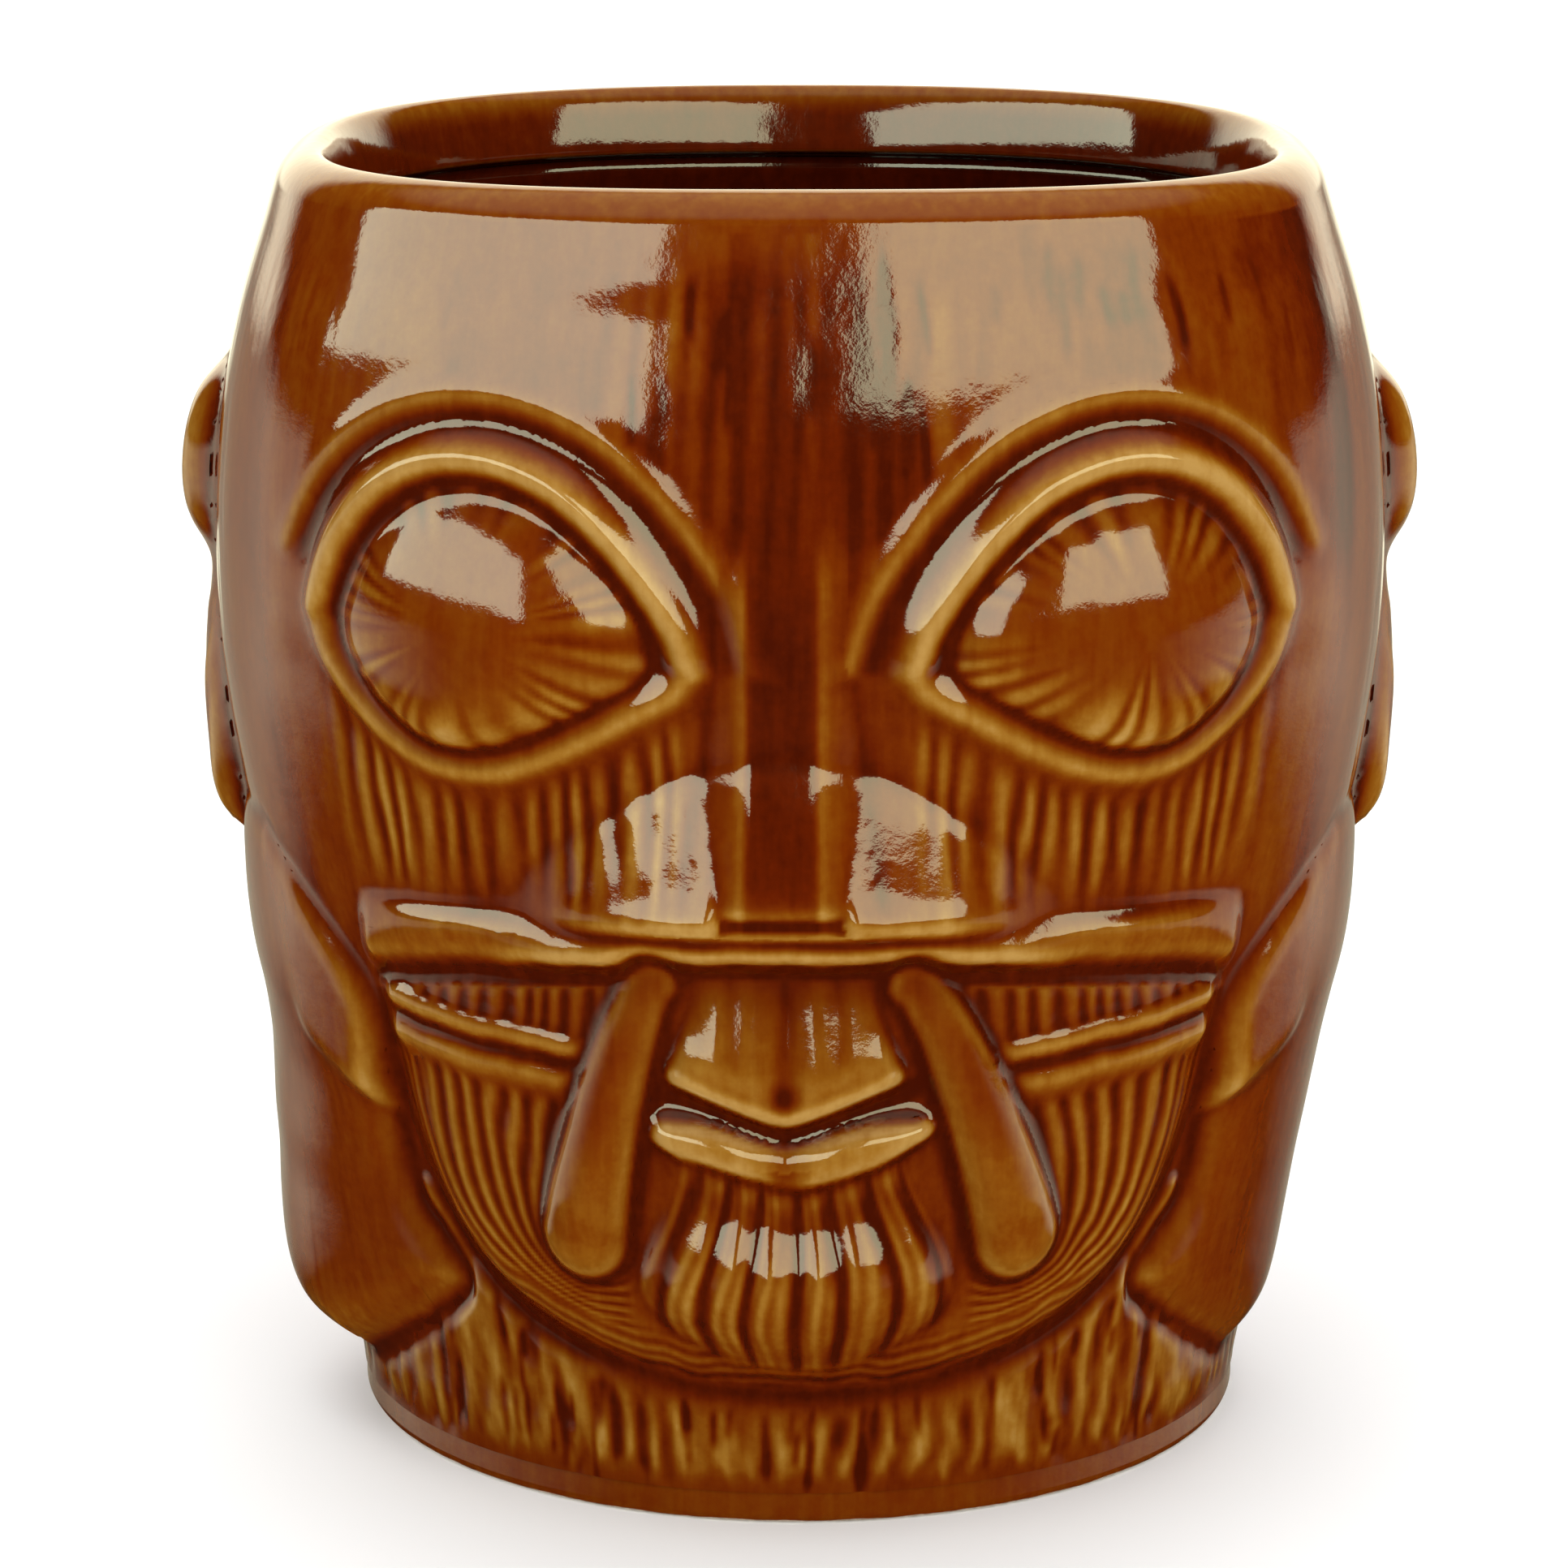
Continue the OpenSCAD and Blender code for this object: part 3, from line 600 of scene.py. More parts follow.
def beard():
    """Fluted tuft that fans out under the lower lip."""
    w, s, z = window(-18, 17, CHIN_Z, 33)
    base = jaw_height(s, z)
    s = s - LIP_S - 0.9
    top = BEARD_TOP + 0.3 * np.sqrt(s * s + 0.6)
    v = np.clip((top - z) / (top - BEARD_LOW), 0, 1)
    spread = 8.9 + 4.1 * ease(v, 0.75) - 1.6 * ease(v - 0.75, 0.25)
    inside = soft_min(spread - abs(s), soft_min(top - z, (z - 13.2 - 0.03 * s * s) * 0.7, 0.8), 2.0)
    x = s / spread * 11.5 + 0.12 * np.sin(z / 2)
    tuft = curve([(0, 0.4), (0.2, 0.7), (0.5, 2.9), (0.65, 3.0), (0.85, 2.0), (1, 0.7)], v)
    tuft = tuft * arch(s / (spread + 2))
    phase = x / 3.3 + 0.14 * wander(x, 83, 2.0)
    flute = waves(phase) ** 3.0
    fine = flutes(x + 0.3 * np.sin(z / 2.3), 1.15, 82, 1.2)
    curl = bump(top - z - 1.3, 1.0) * waves(phase, 2.5)
    folds = tuft - 0.62 * flute * (0.4 + 0.6 * ease(v * 2)) - 0.14 * fine + 0.4 * curl
    height = base + climb(inside, 1.3) * folds
    weight = ease(inside + 0.6, 1.2)
    tone = 0.42 * flute * ease(v * 3 + 0.2) + 0.14 * fine - 0.13 - 0.12 * curl
    tone = tone + 0.1 * ease(v - 0.8, 0.2)
    blend_in(w, height, weight, tone)
    AREA["beard"] = (w, inside)


# Heights across the teeth, from the jaw's own lip under them up to the wedge
TEETH = [(-5.0, 0), (-3.9, 0.15), (-3.2, 0.5), (-2.6, 0.7), (-2.1, 0.45), (-1.65, -0.15), (-1.2, -0.4),
         (-0.8, -0.15), (-0.35, 0.42), (0.1, 0.7), (0.5, 0.55), (0.95, 0.25), (1.5, 0.18), (6, 0.18)]


def teeth(side):
    """Ribbed wedge beside a tusk, its lip, the slit under it and the jaw's own lip."""
    w, x, z = window(11, 37, 31, 45, side)
    base = jaw_height(x, z)
    low = 37.9 + 2.2 * np.clip((x - 16) / 18, 0, 1.05) + 0.12 * wander(x, 93 + side, 1.6)
    high = mouth_line(x) - 3.0
    d = z - low
    ribs = flutes(x + 0.1 * (z - 40), 1.75, 91 + side, 1.2)
    ribs = ribs * ease(d - 0.8, 0.5) * ease(high + 0.2 - z, 0.5)
    weight = ease(x - 12, 1.0) * ease(34.6 - x, 2.0) * ease(d + 5, 1.6) * ease(high + 0.5 - z, 0.7)
    tone = 0.2 * bump(d + 1.2, 0.45) + 0.26 * ribs - 0.05
    blend_in(w, base - 0.25 * ease(d) + curve(TEETH, d) - 0.36 * ribs, weight, tone)
    AREA["teeth_" + SIDE_NAME[side]] = (w, least(d + 0.5, high - z, x - 12.6, 33.4 - x))


def tusk(side):
    """Hanging tusk, thin at the tip by the lip and thick at its round end."""
    w, x, z, d, t = measure(tusk_path(side), 7, side=side)
    base = jaw_height(x, z)
    offset, d = d, abs(d)
    half_w = 1.75 + 1.85 * t**0.9
    inside = half_w - d
    bar = np.clip(1 - np.clip(d / half_w, 0, 1) ** 2.2, 0, 1) ** 0.62
    height = base + (0.5 + 2.2 * (1 - (1 - t) ** 1.9) - 0.5 * ease(t - 0.85, 0.15)) * bar
    out = bump(d - half_w - 0.3, 0.7)
    blend_in(w, base - 0.35, out * 0.8, 0.12)
    streak = bump((offset - 0.5) / half_w, 0.5) * ease((t - 0.12) * 6) * ease((0.75 - t) * 4)
    tone = 0.02 + 0.2 * streak - 0.1 * bump(inside - 0.7, 0.5)
    blend_in(w, height, ease(inside + 0.2, 0.5), tone)
    AREA["tusk_" + SIDE_NAME[side]] = (w, inside + 0.25)


# Share of the earlobe's swing, against z
SWING_SHARE = [(7, 0.75), (9, 0.95), (11, 1), (14, 0.95), (17.5, 0.81), (21, 0.62), (24.5, 0.47),
               (28, 0.27), (31, 0.12), (36, 0), (50, 0)]
# Heights across the earlobe's front edge, as shares of its full height
LOBE_EDGE = [(-1.8, 0), (-0.9, -0.15), (-0.2, 0.05), (0.6, 0.4), (1.5, 0.66), (3, 0.88), (5.5, 0.98), (9, 1)]


def earlobe(side):
    """Long stretched earlobe, with a flat facet on its front edge."""
    w, x, z, d, _ = measure(lobe_path(), 12, closed=True, side=side)
    swing = SWING[side] * curve(SWING_SHARE, z) * ease(x - 34, 22)
    full = LOBE_H * (0.45 + 0.55 * ease(50.5 - z, 14)) + swing - 0.3
    profile = curve(LOBE_EDGE, d)
    height = np.where(d > -0.1, full * profile, profile)
    # A flat cut that faces up and forward, from near the ear down to where the lobe hangs free
    flat = soft_min(d + 0.6, soft_min(45.6 - x, z - 30.6 - 0.55 * (x - 38), 1.5), 1.5)
    cut = ease(flat / 3 + 0.25)
    plane = 0.45 + 0.17 * (48.5 - z) + 0.04 * (x - 40)
    height = height + cut * (plane - height)
    # Low down the crease beside it is no deeper than the collar
    height = np.maximum(height, H[w] * ease(15 - z, 3) * (1 - ease(d, 1.2)) - 0.15)
    blend_in(w, height, ease(d + 1.8, 1.0), 0.05 - 0.1 * bump(d - 0.9, 0.7) - 0.06 * bump(flat, 0.8))
    AREA["earlobe_" + SIDE_NAME[side]] = (w, d + 0.4)


# How far the ear stands out, as a share of EAR_H, against z
EAR_OUT = [(44, 0.15), (46.5, 0.9), (49, 1.1), (53, 1), (58, 0.8), (63, 0.5), (67, 0.35), (70, 0.75),
           (75, 1), (80, 0.8), (84, 0.1)]


def ear(side):
    """Two-lobed ear with a raised rim round a shallow dish."""
    w, x, z, d, _ = measure(ear_path(), 4, closed=True, side=side)
    x = x - EAR_S
    out = EAR_H * curve(EAR_OUT, z)
    dish = np.exp(-((x / 4.2) ** 2 + ((z - 76) / 4.2) ** 2))
    dish = dish + 0.8 * np.exp(-((x / 3.4) ** 2 + ((z - 54) / 6) ** 2))
    profile = curve([(-1.6, 0), (-0.8, -0.15), (0, 0.08), (1.2, 0.58), (2.4, 0.92), (3.4, 1.0), (9, 1.0)], d)
    folds = flutes(x + 0.25 * (z - 55), 2.2, 95, 1.2) * ease(66 - z, 4) * ease(d - 1.2, 1.2)
    height = np.maximum(out, 0.9) * profile - 0.75 * dish * ease(d - 1, 2) - 0.45 * folds
    height = np.minimum(np.where(d > 0, height, profile), EAR_H * 1.08)
    blend_in(w, height, ease(d + 1.6, 0.9), 0.2 * folds)
    AREA["ear_" + SIDE_NAME[side]] = (w, d + 0.3)


def carve():
    """Run the whole height field over the grid as it is now."""
    H[:] = 0
    TONE[:] = 0
    AREA.clear()
    wall_marks()
    forehead()
    collar()
    for side in (1, -1):
        cheek(side)
        eye(side)
    muzzle()
    nose()
    jaw()
    for side in (1, -1):
        earlobe(side)
        ear(side)
    mouth_ridge()
    for side in (1, -1):
        teeth(side)
    lips()
    beard()
    for side in (1, -1):
        tusk(side)
    under_jaw, under_lobe, behind = 21.5, 7.6, 12.2
    top = np.where(abs(S) < 37, under_jaw, np.where(abs(S) < 84, under_lobe, behind))
    AREA["neck_collar"] = ((slice(None), slice(None)), top - Z)
    H[:] *= ease(MUG_H - RIM_ROLL - Z, 3)


def both(*names):
    """Left and right piece of each name."""
    return [name + side for name in names for side in ("_left", "_right")]


# Where two fields overlap, the piece that comes first takes the skin
PRIORITY = (both("tusk") + ["lower_lip", "upper_lip", "beard"] + both("teeth") + ["mouth_ridge", "nose"]
            + both("eyeball", "eyelid", "brow", "ear", "earlobe") + ["jaw_plate", "neck_collar"])
PANELS = ["crown_band", "back_panel"] + both("temple", "cheek") + ["forehead"]


REACH = 0.56  # a grid point moves onto a border that passes within this share of the way to its neighbour


def snap_borders():
    """Move the grid points nearest to each border onto it, so that pieces meet along smooth lines."""
    fields = {}
    fixed = np.zeros(S.shape, bool)
    step_s = np.roll(S, -1, 0) - S
    step_s[-1] += 2 * math.pi * ARC_R
    step_z = np.roll(Z, -1, 1) - Z
    for name in PRIORITY:
        w, inside = AREA[name]
        f = np.full(S.shape, -9.0)
        f[w] = np.clip(inside, -9, 9)
        best = np.full(S.shape, REACH)
        move_s, move_z = np.zeros(S.shape), np.zeros(S.shape)
        for axis, step, move in ((0, step_s, move_s), (1, step_z, move_z)):
            other = move_z if axis == 0 else move_s
            g = np.roll(f, -1, axis)
            cross = (f * g < 0)
            if axis == 1:
                cross[:, -1] = False
            t = np.where(cross, f / np.where(cross, f - g, 1), 9.0)
            near = cross & (t < best)
            best[near], move[near], other[near] = t[near], (t * step)[near], 0
            back = np.roll(np.where(cross, 1 - t, 9.0), 1, axis)
            far = back < best
            best[far], move[far], other[far] = back[far], -(back * np.roll(step, 1, axis))[far], 0
        take = (best < REACH) & ~fixed
        take[:, 0] = take[:, TOP:] = False
        S[take] += move_s[take]
        Z[take] += move_z[take]
        f[take] = 0
        fixed |= take
        fields[name] = f
    return fields, fixed


def blur(field, cells):
    """Gaussian blur of a field, wrapping round the cup."""
    reach = int(math.ceil(cells * 2.6))
    k = np.exp(-0.5 * (np.arange(-reach, reach + 1) / cells) ** 2)
    k /= k.sum()
    out = sum(w * np.roll(field, n, 0) for w, n in zip(k, range(-reach, reach + 1)))
    pad = np.pad(out, ((0, 0), (reach, reach)), mode="edge")
    return sum(w * pad[:, n:n + field.shape[1]] for n, w in enumerate(k))


# Borders of the panels of the plain wall
CROWN_Z, CHEEK_Z = 88.4, 66
TEMPLE_S, BACK_S = 39, 82


def panel_of(s, z):
    """Number of the wall's panel at a point, in the order of PANELS, after all of PRIORITY."""
    a = abs(s)
    tests = [z > CROWN_Z, a > BACK_S, (a > TEMPLE_S) & (s < 0), a > TEMPLE_S,
             (z < CHEEK_Z) & (s < NOSE_S), z < CHEEK_Z]
    return np.select(tests, range(len(tests)), len(tests)) + len(PRIORITY)


carve()
FIELDS, FIXED = snap_borders()
carve()
# The glaze fills the narrow grooves of the clay and rounds its edges
DEEPEST = 0.14  # a groove stays at most this deep under its surroundings
CLAY = H.copy()
H[:] = blur(np.maximum(CLAY, blur(CLAY, 4) - DEEPEST), 1.9)
H[:, -1] = 0
POINTS = place(S, Z, H)
NCOL, NROW = S.shape

d_s = np.roll(POINTS, -1, 0) - np.roll(POINTS, 1, 0)
padded = np.pad(POINTS, ((0, 0), (1, 1), (0, 0)), mode="edge")
NORMALS = np.cross(d_s, padded[:, 2:] - padded[:, :-2])
NORMALS = np.stack([blur(NORMALS[..., i] / np.linalg.norm(NORMALS, axis=-1), 0.9) for i in range(3)], -1)
NORMALS /= np.linalg.norm(NORMALS, axis=-1, keepdims=True)

# Thickness of the glaze: it runs off ridges and pools in grooves. Through TONE it also carries painted shade
# on the forehead, the nose and the slit over the mouth
FINE = np.clip(blur(CLAY, 2.6) - blur(CLAY, 0.8), -0.35, 0.35)
BROAD = np.clip(blur(H, 8.0) - H, -0.9, 0.9)
GLAZE_AND_SHADE = np.clip(0.62 + 0.95 * FINE + 0.26 * BROAD + TONE, 0.03, 0.98)


# ---------------- pieces

def faces_by_piece():
    """Quads and triangles of the grid, grouped by piece."""
    ident = np.arange(NCOL * NROW).reshape(NCOL, NROW)
    right = np.roll(ident, -1, 0)
    low, high = slice(0, TOP), slice(1, TOP + 1)
    corners = ((ident, low), (right, low), (right, high), (ident, high))
    a, b, c, d = (columns[:, rows].ravel() for columns, rows in corners)
    flat_s, flat_z = S.ravel(), Z.ravel()

    def label(p, q, r):
        mid_s = (flat_s[p] + flat_s[q] + flat_s[r]) / 3
        wrap = abs(flat_s[p] - flat_s[q]) > 100
        out = panel_of(np.where(wrap, 130.0, mid_s), (flat_z[p] + flat_z[q] + flat_z[r]) / 3)
        for k in reversed(range(len(PRIORITY))):
            f = FIELDS[PRIORITY[k]].ravel()
            out = np.where(f[p] + f[q] + f[r] > 0, k, out)
        return out

    halves = [(a, b, c), (a, c, d), (a, b, d), (b, c, d)]
    abc, acd, abd, bcd = labels = [label(*half) for half in halves]
    fixed = FIXED.ravel()
    whole = (abc == acd) & (abd == bcd) & (abc == abd)
    use_bd = ~whole & fixed[b] & fixed[d] & ~(fixed[a] & fixed[c])
    use_ac = ~whole & ~use_bd
    groups = {}
    for k, name in enumerate(PRIORITY + PANELS):
        q = whole & (abc == k)
        tris = [np.stack(half, -1)[use & (found == k)]
                for half, found, use in zip(halves, labels, (use_ac, use_ac, use_bd, use_bd))]
        groups[name] = (np.stack([a, b, c, d], -1)[q], np.vstack(tris))
    return groups


def link(name, data):
    """New object in the scene."""
    obj = bpy.data.objects.new(name, data)
    bpy.context.collection.objects.link(obj)
    return obj


def new_mesh(name, points, faces, smooth, glaze, normals=None):
    """Mesh object from points in millimetres and lists of faces of one size each."""
    mesh = bpy.data.meshes.new(name)
    loops = np.concatenate([f.ravel() for f in faces])
    sizes = np.concatenate([np.full(len(f), f.shape[1]) for f in faces])
    mesh.vertices.add(len(points))
    mesh.vertices.foreach_set("co", (points * MM).ravel())
    mesh.loops.add(len(loops))
    mesh.loops.foreach_set("vertex_index", loops.astype(np.int32))
    mesh.polygons.add(len(sizes))
    mesh.polygons.foreach_set("loop_start", np.concatenate([[0], np.cumsum(sizes)[:-1]]).astype(np.int32))
    mesh.polygons.foreach_set("use_smooth", smooth)
    mesh.update(calc_edges=True)
    mesh.attributes.new("glaze", "FLOAT", "POINT").data.foreach_set("value", glaze.astype(np.float32))
    if normals is not None:
        mesh.normals_split_custom_set(normals)
    return link(name, mesh)


def carved_piece(name, quads, tris):
    """Closed piece: its part of the skin, the same laid SKIN deep in the wall, and the sides between."""
    used = np.unique(np.concatenate([quads.ravel(), tris.ravel()]))
    quads, tris = np.searchsorted(used, quads), np.searchsorted(used, tris)
    n = len(used)
    starts = np.concatenate([quads.ravel(), tris.ravel()])
    ends = np.concatenate([np.roll(quads, -1, 1).ravel(), np.roll(tris, -1, 1).ravel()])
    rim = ~np.isin(starts * n + ends, ends * n + starts)
    a, b = starts[rim], ends[rim]
    sides = np.stack([b, a, a + n, b + n], -1)
    back = place(S.ravel()[used], Z.ravel()[used], -SKIN)
    points = np.vstack([POINTS.reshape(-1, 3)[used], back])
    faces = [quads, tris, quads[:, ::-1] + n, tris[:, ::-1] + n, sides]
    smooth = np.ones(sum(len(f) for f in faces), bool)
    smooth[len(smooth) - len(sides):] = False
    normals = np.zeros((sum(f.size for f in faces), 3))
    normals[:len(starts)] = NORMALS.reshape(-1, 3)[used][starts]
    glaze = np.concatenate([GLAZE_AND_SHADE.ravel()[used], np.full(n, 0.6)])
    return new_mesh(name, points, faces, smooth, glaze, normals)


def lathe(name, profile, phi=np.arange(360) * math.pi / 180, before=None, after=None, lid=False, skin=None):
    """Ring round the axis, or disc with lid.

    Profile points are (height, radius to add, share of the cup's radius, glaze); before and after are the
    points that the surface comes from and goes on to in the next piece. A skin of points, normals and glaze,
    with one row for each column, goes before the profile.
    """
    wide = ([before] if before else []) + profile + ([after] if after else [])
    z, add, share, glaze = (np.array(c, float)[None, :] for c in zip(*wide))
    r = add + share * cup_radius(phi[:, None], np.clip(z, 0, MUG_H))
    flat = [r * np.sin(phi[:, None]), -r * np.cos(phi[:, None])]
    points = np.stack(flat + [np.broadcast_to(z, r.shape)], -1)
    along = np.roll(points, -1, 1) - np.roll(points, 1, 1)
    if lid:
        along[:, 0], along[:, -1] = points[:, 1] - points[:, 0], points[:, -1] - points[:, -2]
    normals = np.cross(np.roll(points, -1, 0) - np.roll(points, 1, 0), along)
    normals /= np.linalg.norm(normals, axis=-1, keepdims=True) + 1e-12
    keep = slice(1 if before else 0, len(wide) - (1 if after else 0))
    points, normals = points[:, keep], normals[:, keep]
    glaze = np.broadcast_to(glaze[:, keep], (len(phi), len(profile)))
    if skin:
        points, normals, glaze = (np.concatenate(pair, 1) for pair in zip(skin, (points, normals, glaze)))
    rows = points.shape[1]
    points, normals, glaze = points.reshape(-1, 3), normals.reshape(-1, 3), glaze.ravel()
    ident = np.arange(len(points)).reshape(len(phi), rows)
    nxt = np.roll(ident, -1, 0)
    corners = (ident, nxt, np.roll(nxt, -1, 1), np.roll(ident, -1, 1))
    faces = [np.stack([g[:, :rows - lid] for g in corners], -1).reshape(-1, 4)]
    if lid:
        ends = np.array([[0, 0, profile[0][0]], [0, 0, profile[-1][0]]])
        under, over = len(points), len(points) + 1
        points, glaze = np.vstack([points, ends]), np.append(glaze, [0.9, 0.9])
        normals = np.vstack([normals, [[0, 0, -1], [0, 0, 1]]])
        faces.append(np.stack([nxt[:, 0], ident[:, 0], np.full(len(phi), under)], -1))
        faces.append(np.stack([ident[:, -1], nxt[:, -1], np.full(len(phi), over)], -1))
    smooth = np.ones(sum(len(f) for f in faces), bool)
    return new_mesh(name, points, faces, smooth, glaze, normals[np.concatenate([f.ravel() for f in faces])])


def soft_corner(a, corner, b, n=6):
    """Round a corner of a profile between two of its neighbours."""
    t = np.linspace(0, 1, n)[:, None]
    a, corner, b = np.array(a, float), np.array(corner, float), np.array(b, float)
    return [tuple(p) for p in (1 - t) ** 2 * a + 2 * t * (1 - t) * corner + t**2 * b]


def make_rim():
    """Rolled rim with a sloping inner face and a sill under it, where the wall steps back."""
    side_z = MUG_H - RIM_ROLL
    crest = [(side_z + RIM_ROLL * math.sin(a), -RIM_ROLL * (1 - math.cos(a)), 1, 0.6 - 0.2 * math.sin(a))
             for a in np.linspace(0.08, math.pi / 2, 18)]
    bevel = spline([(100, 2.3), (99.85, 2.8), (99.5, 3.25), (99.0, 3.68), (98.4, 4.1), (97.6, 4.62),
                    (96.6, 5.2), (95.6, 5.72), (95.0, 6.0)], 28)[1:]
    inner = [(z, -add, 1, 0.45 + 0.4 * ease(99.5 - z, 2)) for z, add in bevel]
    sill = soft_corner((94.9, -6.03, 1, 0.8), (94.6, -6.15, 1, 0.3), (94.5, -5.5, 1, 0.6))
    under = soft_corner((94.45, -WALL - 0.5, 1, 1), (94.4, -WALL, 1, 1), (RIM_Z, -WALL, 1, 1))
    skin = [field[:, TOP:] for field in (POINTS, NORMALS, GLAZE_AND_SHADE)]
    before = (side_z - 0.1, 0, 1, 0.6)
    return lathe("rim_lip", crest + inner + sill + under, COLS / ARC_R, before=before, skin=skin)


def make_core():
    """Inside of the cup's wall, down to the rounded edge of the floor."""
    fillet = 8
    outer = [(z, -SKIN, 1, 0.9) for z in np.linspace(FOOT_Z, RIM_Z, 40)]
    inner = [(z, -WALL, 1, 0.95) for z in np.linspace(RIM_Z, FLOOR_Z + fillet, 50)]
    turns = [(math.sin(a), 1 - math.cos(a)) for a in np.linspace(math.pi / 2, 0, 14)[1:]]
    bend = [(FLOOR_Z + fillet * up, FLOOR_R * (1 - out) - WALL * out, out, 0.95) for out, up in turns]
    return lathe("cup_core", outer + inner + bend + [(FOOT_Z, FLOOR_R, 0, 0.9)])


def make_floor():
    """Floor of the cup, very slightly dished."""
    under = [(FOOT_Z, 4, 0, 0.9), (FOOT_Z, FLOOR_R, 0, 0.9), (FLOOR_Z, FLOOR_R, 0, 0.9)]
    dish = [(FLOOR_Z - 0.25 * (1 - (r / FLOOR_R) ** 2), r, 0, 0.95)
            for r in np.linspace(FLOOR_R - 0.5, 3, 12)]
    return lathe("vessel_floor", under + dish, lid=True)


def make_foot():
    """Foot ring: glazed outside, wiped bare where it stands."""
    width, overhang = 5.5, 0.45
    inner_r, outer_r = FOOT_R - width, FOOT_R + overhang
    inner = soft_corner((1.0, inner_r), (0, inner_r), (0, inner_r + 1.0), 7)
    outer = soft_corner((0, outer_r - 0.8), (0, outer_r - 0.05), (0.8, outer_r), 10)
    outline = [(FOOT_Z, inner_r)] + inner + outer + [(FOOT_Z, outer_r), (FOOT_Z + 0.3, outer_r)]
    profile = [(z, r, 0, 0.6) for z, r in outline]
    return lathe("foot_ring", profile[:-1], COLS / ARC_R, after=profile[-1])


# ---------------- materials

def fill_inputs(tree, item, inputs):
    """Set a shader node's inputs: link the sockets, and copy the values."""
    for key, value in inputs.items():
        if isinstance(value, bpy.types.NodeSocket):
            tree.links.new(value, item.inputs[key])
        else:
            item.inputs[key].default_value = value


def node_maker(tree):
    """Two functions that add to a node tree: any node, and the result of a sum."""
    def add(kind, inputs=None, **settings):
        item = tree.nodes.new("ShaderNode" + kind)
        for key, value in settings.items():
            setattr(item, key, value)
        fill_inputs(tree, item, inputs or {})
        return item

    def calc(operation, a, b):
        return add("Math", {0: a, 1: b}, operation=operation).outputs[0]
    return add, calc


def colour_ramp(add, value, stops):
    """Colour of a value between stops of (position, colour)."""
    ramp = add("ValToRGB", {"Fac": value})
    elements = ramp.color_ramp.elements
    while len(elements) < len(stops):
        elements.new(0.5)
    for element, (position, colour) in zip(elements, stops):
        element.position = position
        element.color = (*colour, 1)
    return ramp.outputs["Color"]


def new_material(name):
    """Material, its tree and its shader."""
    material = bpy.data.materials.new(name)
    material.use_nodes = True
    return material, material.node_tree, material.node_tree.nodes["Principled BSDF"]


# Colour of the glaze, from its thinnest to its thickest
GLAZE_STOPS = [(0.0, (0.5, 0.28, 0.07)), (0.2, (0.36, 0.16, 0.018)), (0.36, (0.265, 0.088, 0.005)),
               (0.5, (0.21, 0.048, 0.0015)), (0.64, (0.172, 0.025, 0.0004)), (0.8, (0.12, 0.011, 0.0002)),
               (1.0, (0.06, 0.005, 0.0002))]


def glaze_material(name):
    """Transparent brown glaze over a pale body: golden where thin, red-brown where thick."""
    material, tree, shader = new_material(name)
    add, calc = node_maker(tree)
    place_in = add("TexCoord").outputs["Object"]

    def noise(scale, detail, stretch=(1, 1, 1)):
        mapped = add("Mapping", {"Vector": place_in, "Scale": stretch})
        return add("TexNoise", {"Vector": mapped.outputs[0], "Scale": scale, "Detail": detail,
                                          "Roughness": 0.6}).outputs["Fac"]

    # The glaze attribute holds the glaze's thickness, and painted shade on the forehead, the nose and the
    # slit over the mouth
    value = add("Attribute", attribute_name="glaze").outputs["Fac"]
    streaks = noise(900, 2, (1, 1, 0.1))
    for source, amount in ((noise(1100, 3), 0.2), (streaks, 0.26), (noise(70, 3), 0.2)):
        value = calc("ADD", value, calc("MULTIPLY", calc("SUBTRACT", source, 0.5), amount))
    rough = add("MapRange", {"Value": noise(500, 2), "To Min": 0.045, "To Max": 0.085})
    peel = add("Bump", {"Height": noise(260, 2), "Strength": 0.035, "Distance": 0.001})
    grain = add("Bump", {"Height": noise(2600, 2), "Strength": 0.02, "Distance": 0.0004,
                                   "Normal": peel.outputs[0]})
    colour = colour_ramp(add, value, GLAZE_STOPS)
    fill_inputs(tree, shader, {"Base Color": colour, "Roughness": rough.outputs[0], "IOR": 1.52,
                               "Normal": grain.outputs[0]})
    return material


def clay_material():
    """Bare stoneware on the foot, with the glaze ending in a ragged line just above the table."""
    material = glaze_material("bare_clay")
    tree = material.node_tree
    shader = tree.nodes["Principled BSDF"]
    add, calc = node_maker(tree)
    place_in = add("TexCoord").outputs["Object"]
    height = add("SeparateXYZ", {0: place_in}).outputs["Z"]
    ragged = add("TexNoise", {"Vector": place_in, "Scale": 350.0, "Detail": 3.0}).outputs["Fac"]
    over = calc("SUBTRACT", height, calc("MULTIPLY", ragged, 0.0004))
    glazed = add("MapRange", {"Value": over, "From Min": 0.0, "From Max": 0.0001}).outputs[0]
    speck = add("TexNoise", {"Vector": place_in, "Scale": 1800.0, "Detail": 4.0}).outputs["Fac"]
    clay = colour_ramp(add, speck, [(0.35, (0.42, 0.33, 0.24)), (0.6, (0.66, 0.56, 0.44))])
    glaze = shader.inputs["Base Color"].links[0].from_socket
    # Inputs 6 and 7 and output 2 of a mix node are its colours
    mix = add("Mix", {"Factor": glazed, 6: clay, 7: glaze}, data_type="RGBA")
    rough = add("MapRange", {"Value": glazed, "To Min": 0.85, "To Max": 0.07}).outputs[0]
    fill_inputs(tree, shader, {"Base Color": mix.outputs[2], "Roughness": rough})
    return material


def floor_material():
    """Pale floor, a little brightened so that it meets the background."""
    material, tree, shader = new_material("pale_floor")
    add = node_maker(tree)[0]
    grain = add("TexNoise", {"Scale": 40.0, "Detail": 3.0}).outputs["Fac"]
    tone = colour_ramp(add, grain, [(0, (0.86, 0.86, 0.86)), (1, (0.88, 0.88, 0.88))])
    fill_inputs(tree, shader, {"Base Color": tone, "Roughness": 0.9, "Emission Color": (1, 1, 1, 1),
                               "Emission Strength": 0.16})
    return material


# ---------------- put together

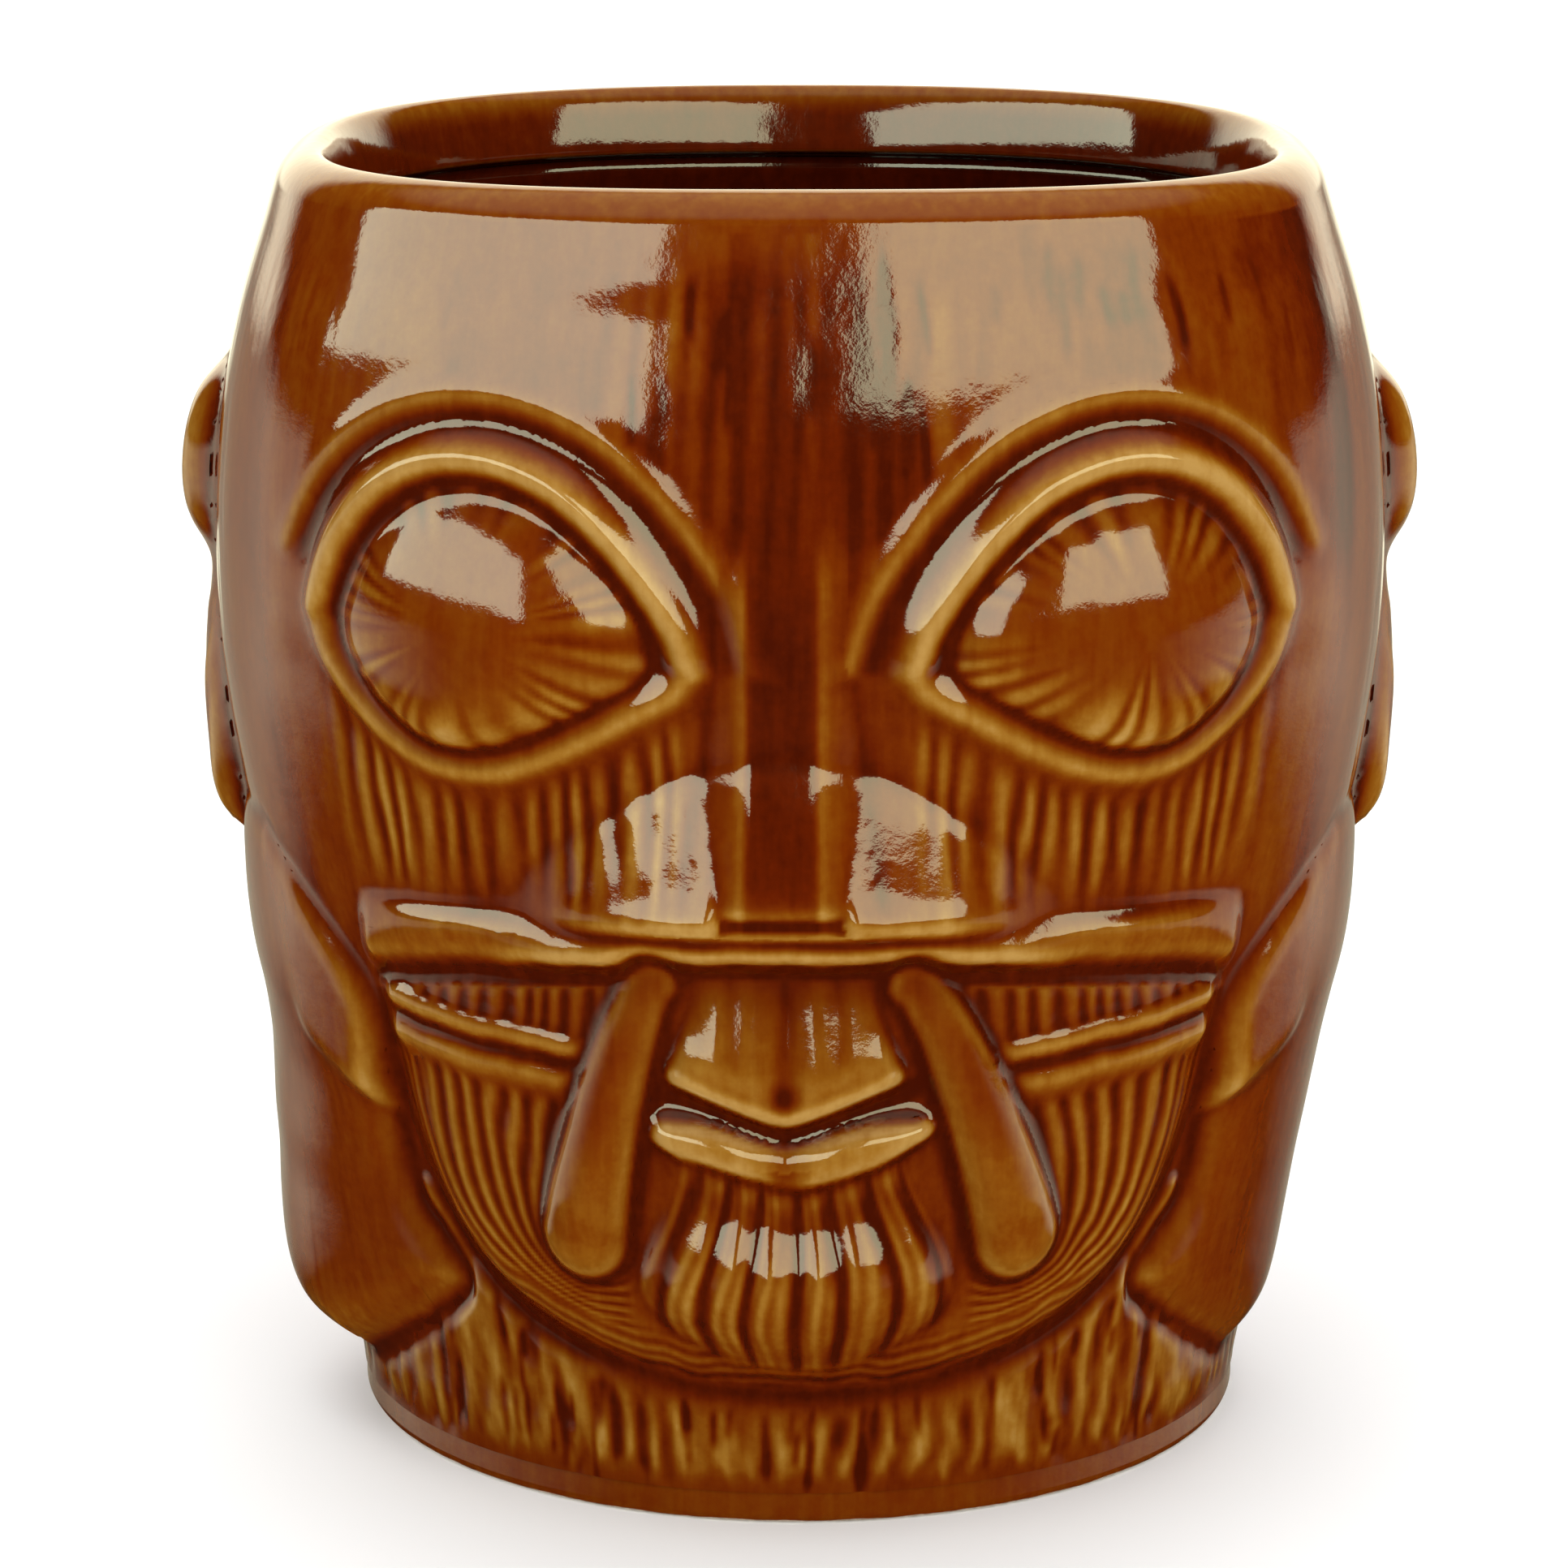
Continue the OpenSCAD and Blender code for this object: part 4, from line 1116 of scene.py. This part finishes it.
FINISH = {name: glaze_material(name) for name in ("treacle_glaze", "honey_glaze", "dark_glaze")}
FINISH["bare_clay"] = clay_material()
HONEY = ["beard", "upper_lip", "lower_lip", "mouth_ridge"] + both("teeth", "eyeball", "eyelid")


def finish_piece(piece, slot, node):
    """Give a piece the material of its slot, put it in the root body, and hide the CAD node that it stands
    for.
    """
    piece.data.materials.append(FINISH[slot])
    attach(piece, "root")
    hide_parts(node)


for piece_name, (quads, tris) in faces_by_piece().items():
    slot = "honey_glaze" if piece_name in HONEY else "treacle_glaze"
    # The nose takes the same glaze as the rest; its darker front is painted shade in the glaze attribute
    slot = "dark_glaze" if piece_name == "nose" else slot
    node = piece_name if piece_name in PRIORITY else "vessel_wall"
    finish_piece(carved_piece(piece_name, quads, tris), slot, node)
finish_piece(make_rim(), "treacle_glaze", "rim_lip")
finish_piece(make_core(), "treacle_glaze", "vessel_wall")
finish_piece(make_floor(), "treacle_glaze", "vessel_floor")
finish_piece(make_foot(), "bare_clay", "foot_ring")


# ---------------- floor, light and camera

def add_floor(size=4.0):
    """Table top, which the glaze doesn't mirror: the world holds the table's reflection."""
    mesh = bpy.data.meshes.new("floor")
    corners = [(-size, -size, 0), (size, -size, 0), (size, size, 0), (-size, size, 0)]
    mesh.from_pydata(corners, [], [(0, 1, 2, 3)])
    mesh.materials.append(floor_material())
    obj = link("floor", mesh)
    obj.visible_glossy = False


def panel(name, size, place_at, turned, radiance, colour, shows):
    """Rectangular light, which either is seen in the glaze or lights the mug and the floor."""
    light = bpy.data.lights.new(name, "AREA")
    light.shape = "RECTANGLE"
    light.size, light.size_y = size
    light.energy = radiance * math.pi * size[0] * size[1]
    light.color = colour
    obj = link(name, light)
    obj.location = place_at
    obj.rotation_euler = turned
    obj.visible_camera = False
    obj.visible_glossy = "glossy" in shows
    obj.visible_diffuse = "diffuse" in shows


def softbox(name, azimuths, elevations, mirrored, colour, lit, distance=2.5):
    """Upright softbox that spans two azimuths (0 is straight in front) and two elevations at its middle."""
    near, far = (math.radians(v) for v in azimuths)
    low, high = (distance * math.tan(math.radians(v)) for v in elevations)
    size = (2 * distance * math.tan((far - near) / 2), high - low)
    way = (near + far) / 2
    place_at = (math.sin(way) * distance, -math.cos(way) * distance, (low + high) / 2 + 0.06)
    panel(name, size, place_at, (math.pi / 2, 0, way), mirrored, colour, "glossy")
    panel(name + "_fill", size, place_at, (math.pi / 2, 0, way), lit, (1, 1, 1), "diffuse")


DARKEST = 0.012  # radiance of the dark front of the studio


def add_world():
    """Pale studio: light overhead and behind the mug, and dark in front, where the glaze shows its depth."""
    world = bpy.data.worlds.new("studio")
    bpy.context.scene.world = world
    world.use_nodes = True
    tree = world.node_tree
    add, calc = node_maker(tree)

    def step(value, low, high, amount=1.0):
        """Smooth step from 0 at low to an amount at high."""
        return add("MapRange", {"Value": value, "From Min": low, "From Max": high, "To Max": amount},
                   interpolation_type="SMOOTHSTEP").outputs[0]

    way = add("TexCoord").outputs["Generated"]
    split = add("SeparateXYZ", {0: way}).outputs
    y, z = split["Y"], split["Z"]
    light = step(z, 0.66, 0.86, 0.7)
    behind = calc("MULTIPLY", step(y, 0.66, 0.8, 2.2), step(z, -0.06, 0.04))
    low = calc("MULTIPLY", step(y, 0.92, 0.98, 1.6), step(z, -0.28, -0.18))
    # The far part of the table, from its horizon down to where it comes close to the mug
    table = calc("MULTIPLY", step(y, -0.75, 0.25, 1.25), step(z, -0.46, -0.28))
    table = calc("MULTIPLY", table, step(z, 0.05, -0.03))
    table = calc("MULTIPLY", table, calc("SUBTRACT", 1.0, step(y, 0.5, 0.85, 0.65)))
    for part in (behind, low, table, DARKEST):
        light = calc("MAXIMUM", light, part)
    # The glaze sees it warm; the camera sees it plain white
    path = add("LightPath").outputs
    tint = {}
    for channel, share in (("Red", 1.0), ("Green", 0.95), ("Blue", 0.7)):
        warm = add("MapRange", {"Value": path["Is Glossy Ray"], "To Min": 1.0, "To Max": share})
        tint[channel] = calc("MAXIMUM", calc("MULTIPLY", light, warm.outputs[0]), path["Is Camera Ray"])
    colour = add("CombineColor", tint).outputs[0]
    tree.links.new(colour, tree.nodes["Background"].inputs["Color"])


def add_camera():
    """The photograph's view, 0.41 m from the mug's middle."""
    look_down = 13.41
    cam = bpy.data.cameras.new("camera")
    cam.sensor_width = 36
    cam.lens = 119
    cam.clip_start = 0.01
    obj = link("camera", cam)
    obj.location = (-0.0012, -0.399, 0.1437)
    obj.rotation_euler = (math.radians(90 - look_down), 0, 0)
    bpy.context.scene.camera = obj


add_floor()
softbox("softbox_left", azimuths=(-95, -10), elevations=(13, 38),
        mirrored=6.6, colour=(0.95, 1.0, 0.72), lit=1.4)
softbox("softbox_right", azimuths=(3, 58), elevations=(14, 38),
        mirrored=6.0, colour=(0.98, 1.0, 0.64), lit=4.0)
panel("ceiling", (3.6, 3.6), place_at=(0, 0, 2.4), turned=(0, 0, 0),
      radiance=1.7, colour=(1, 1, 1), shows="diffuse")
add_world()
add_camera()
bpy.context.scene.view_settings.view_transform = "Standard"
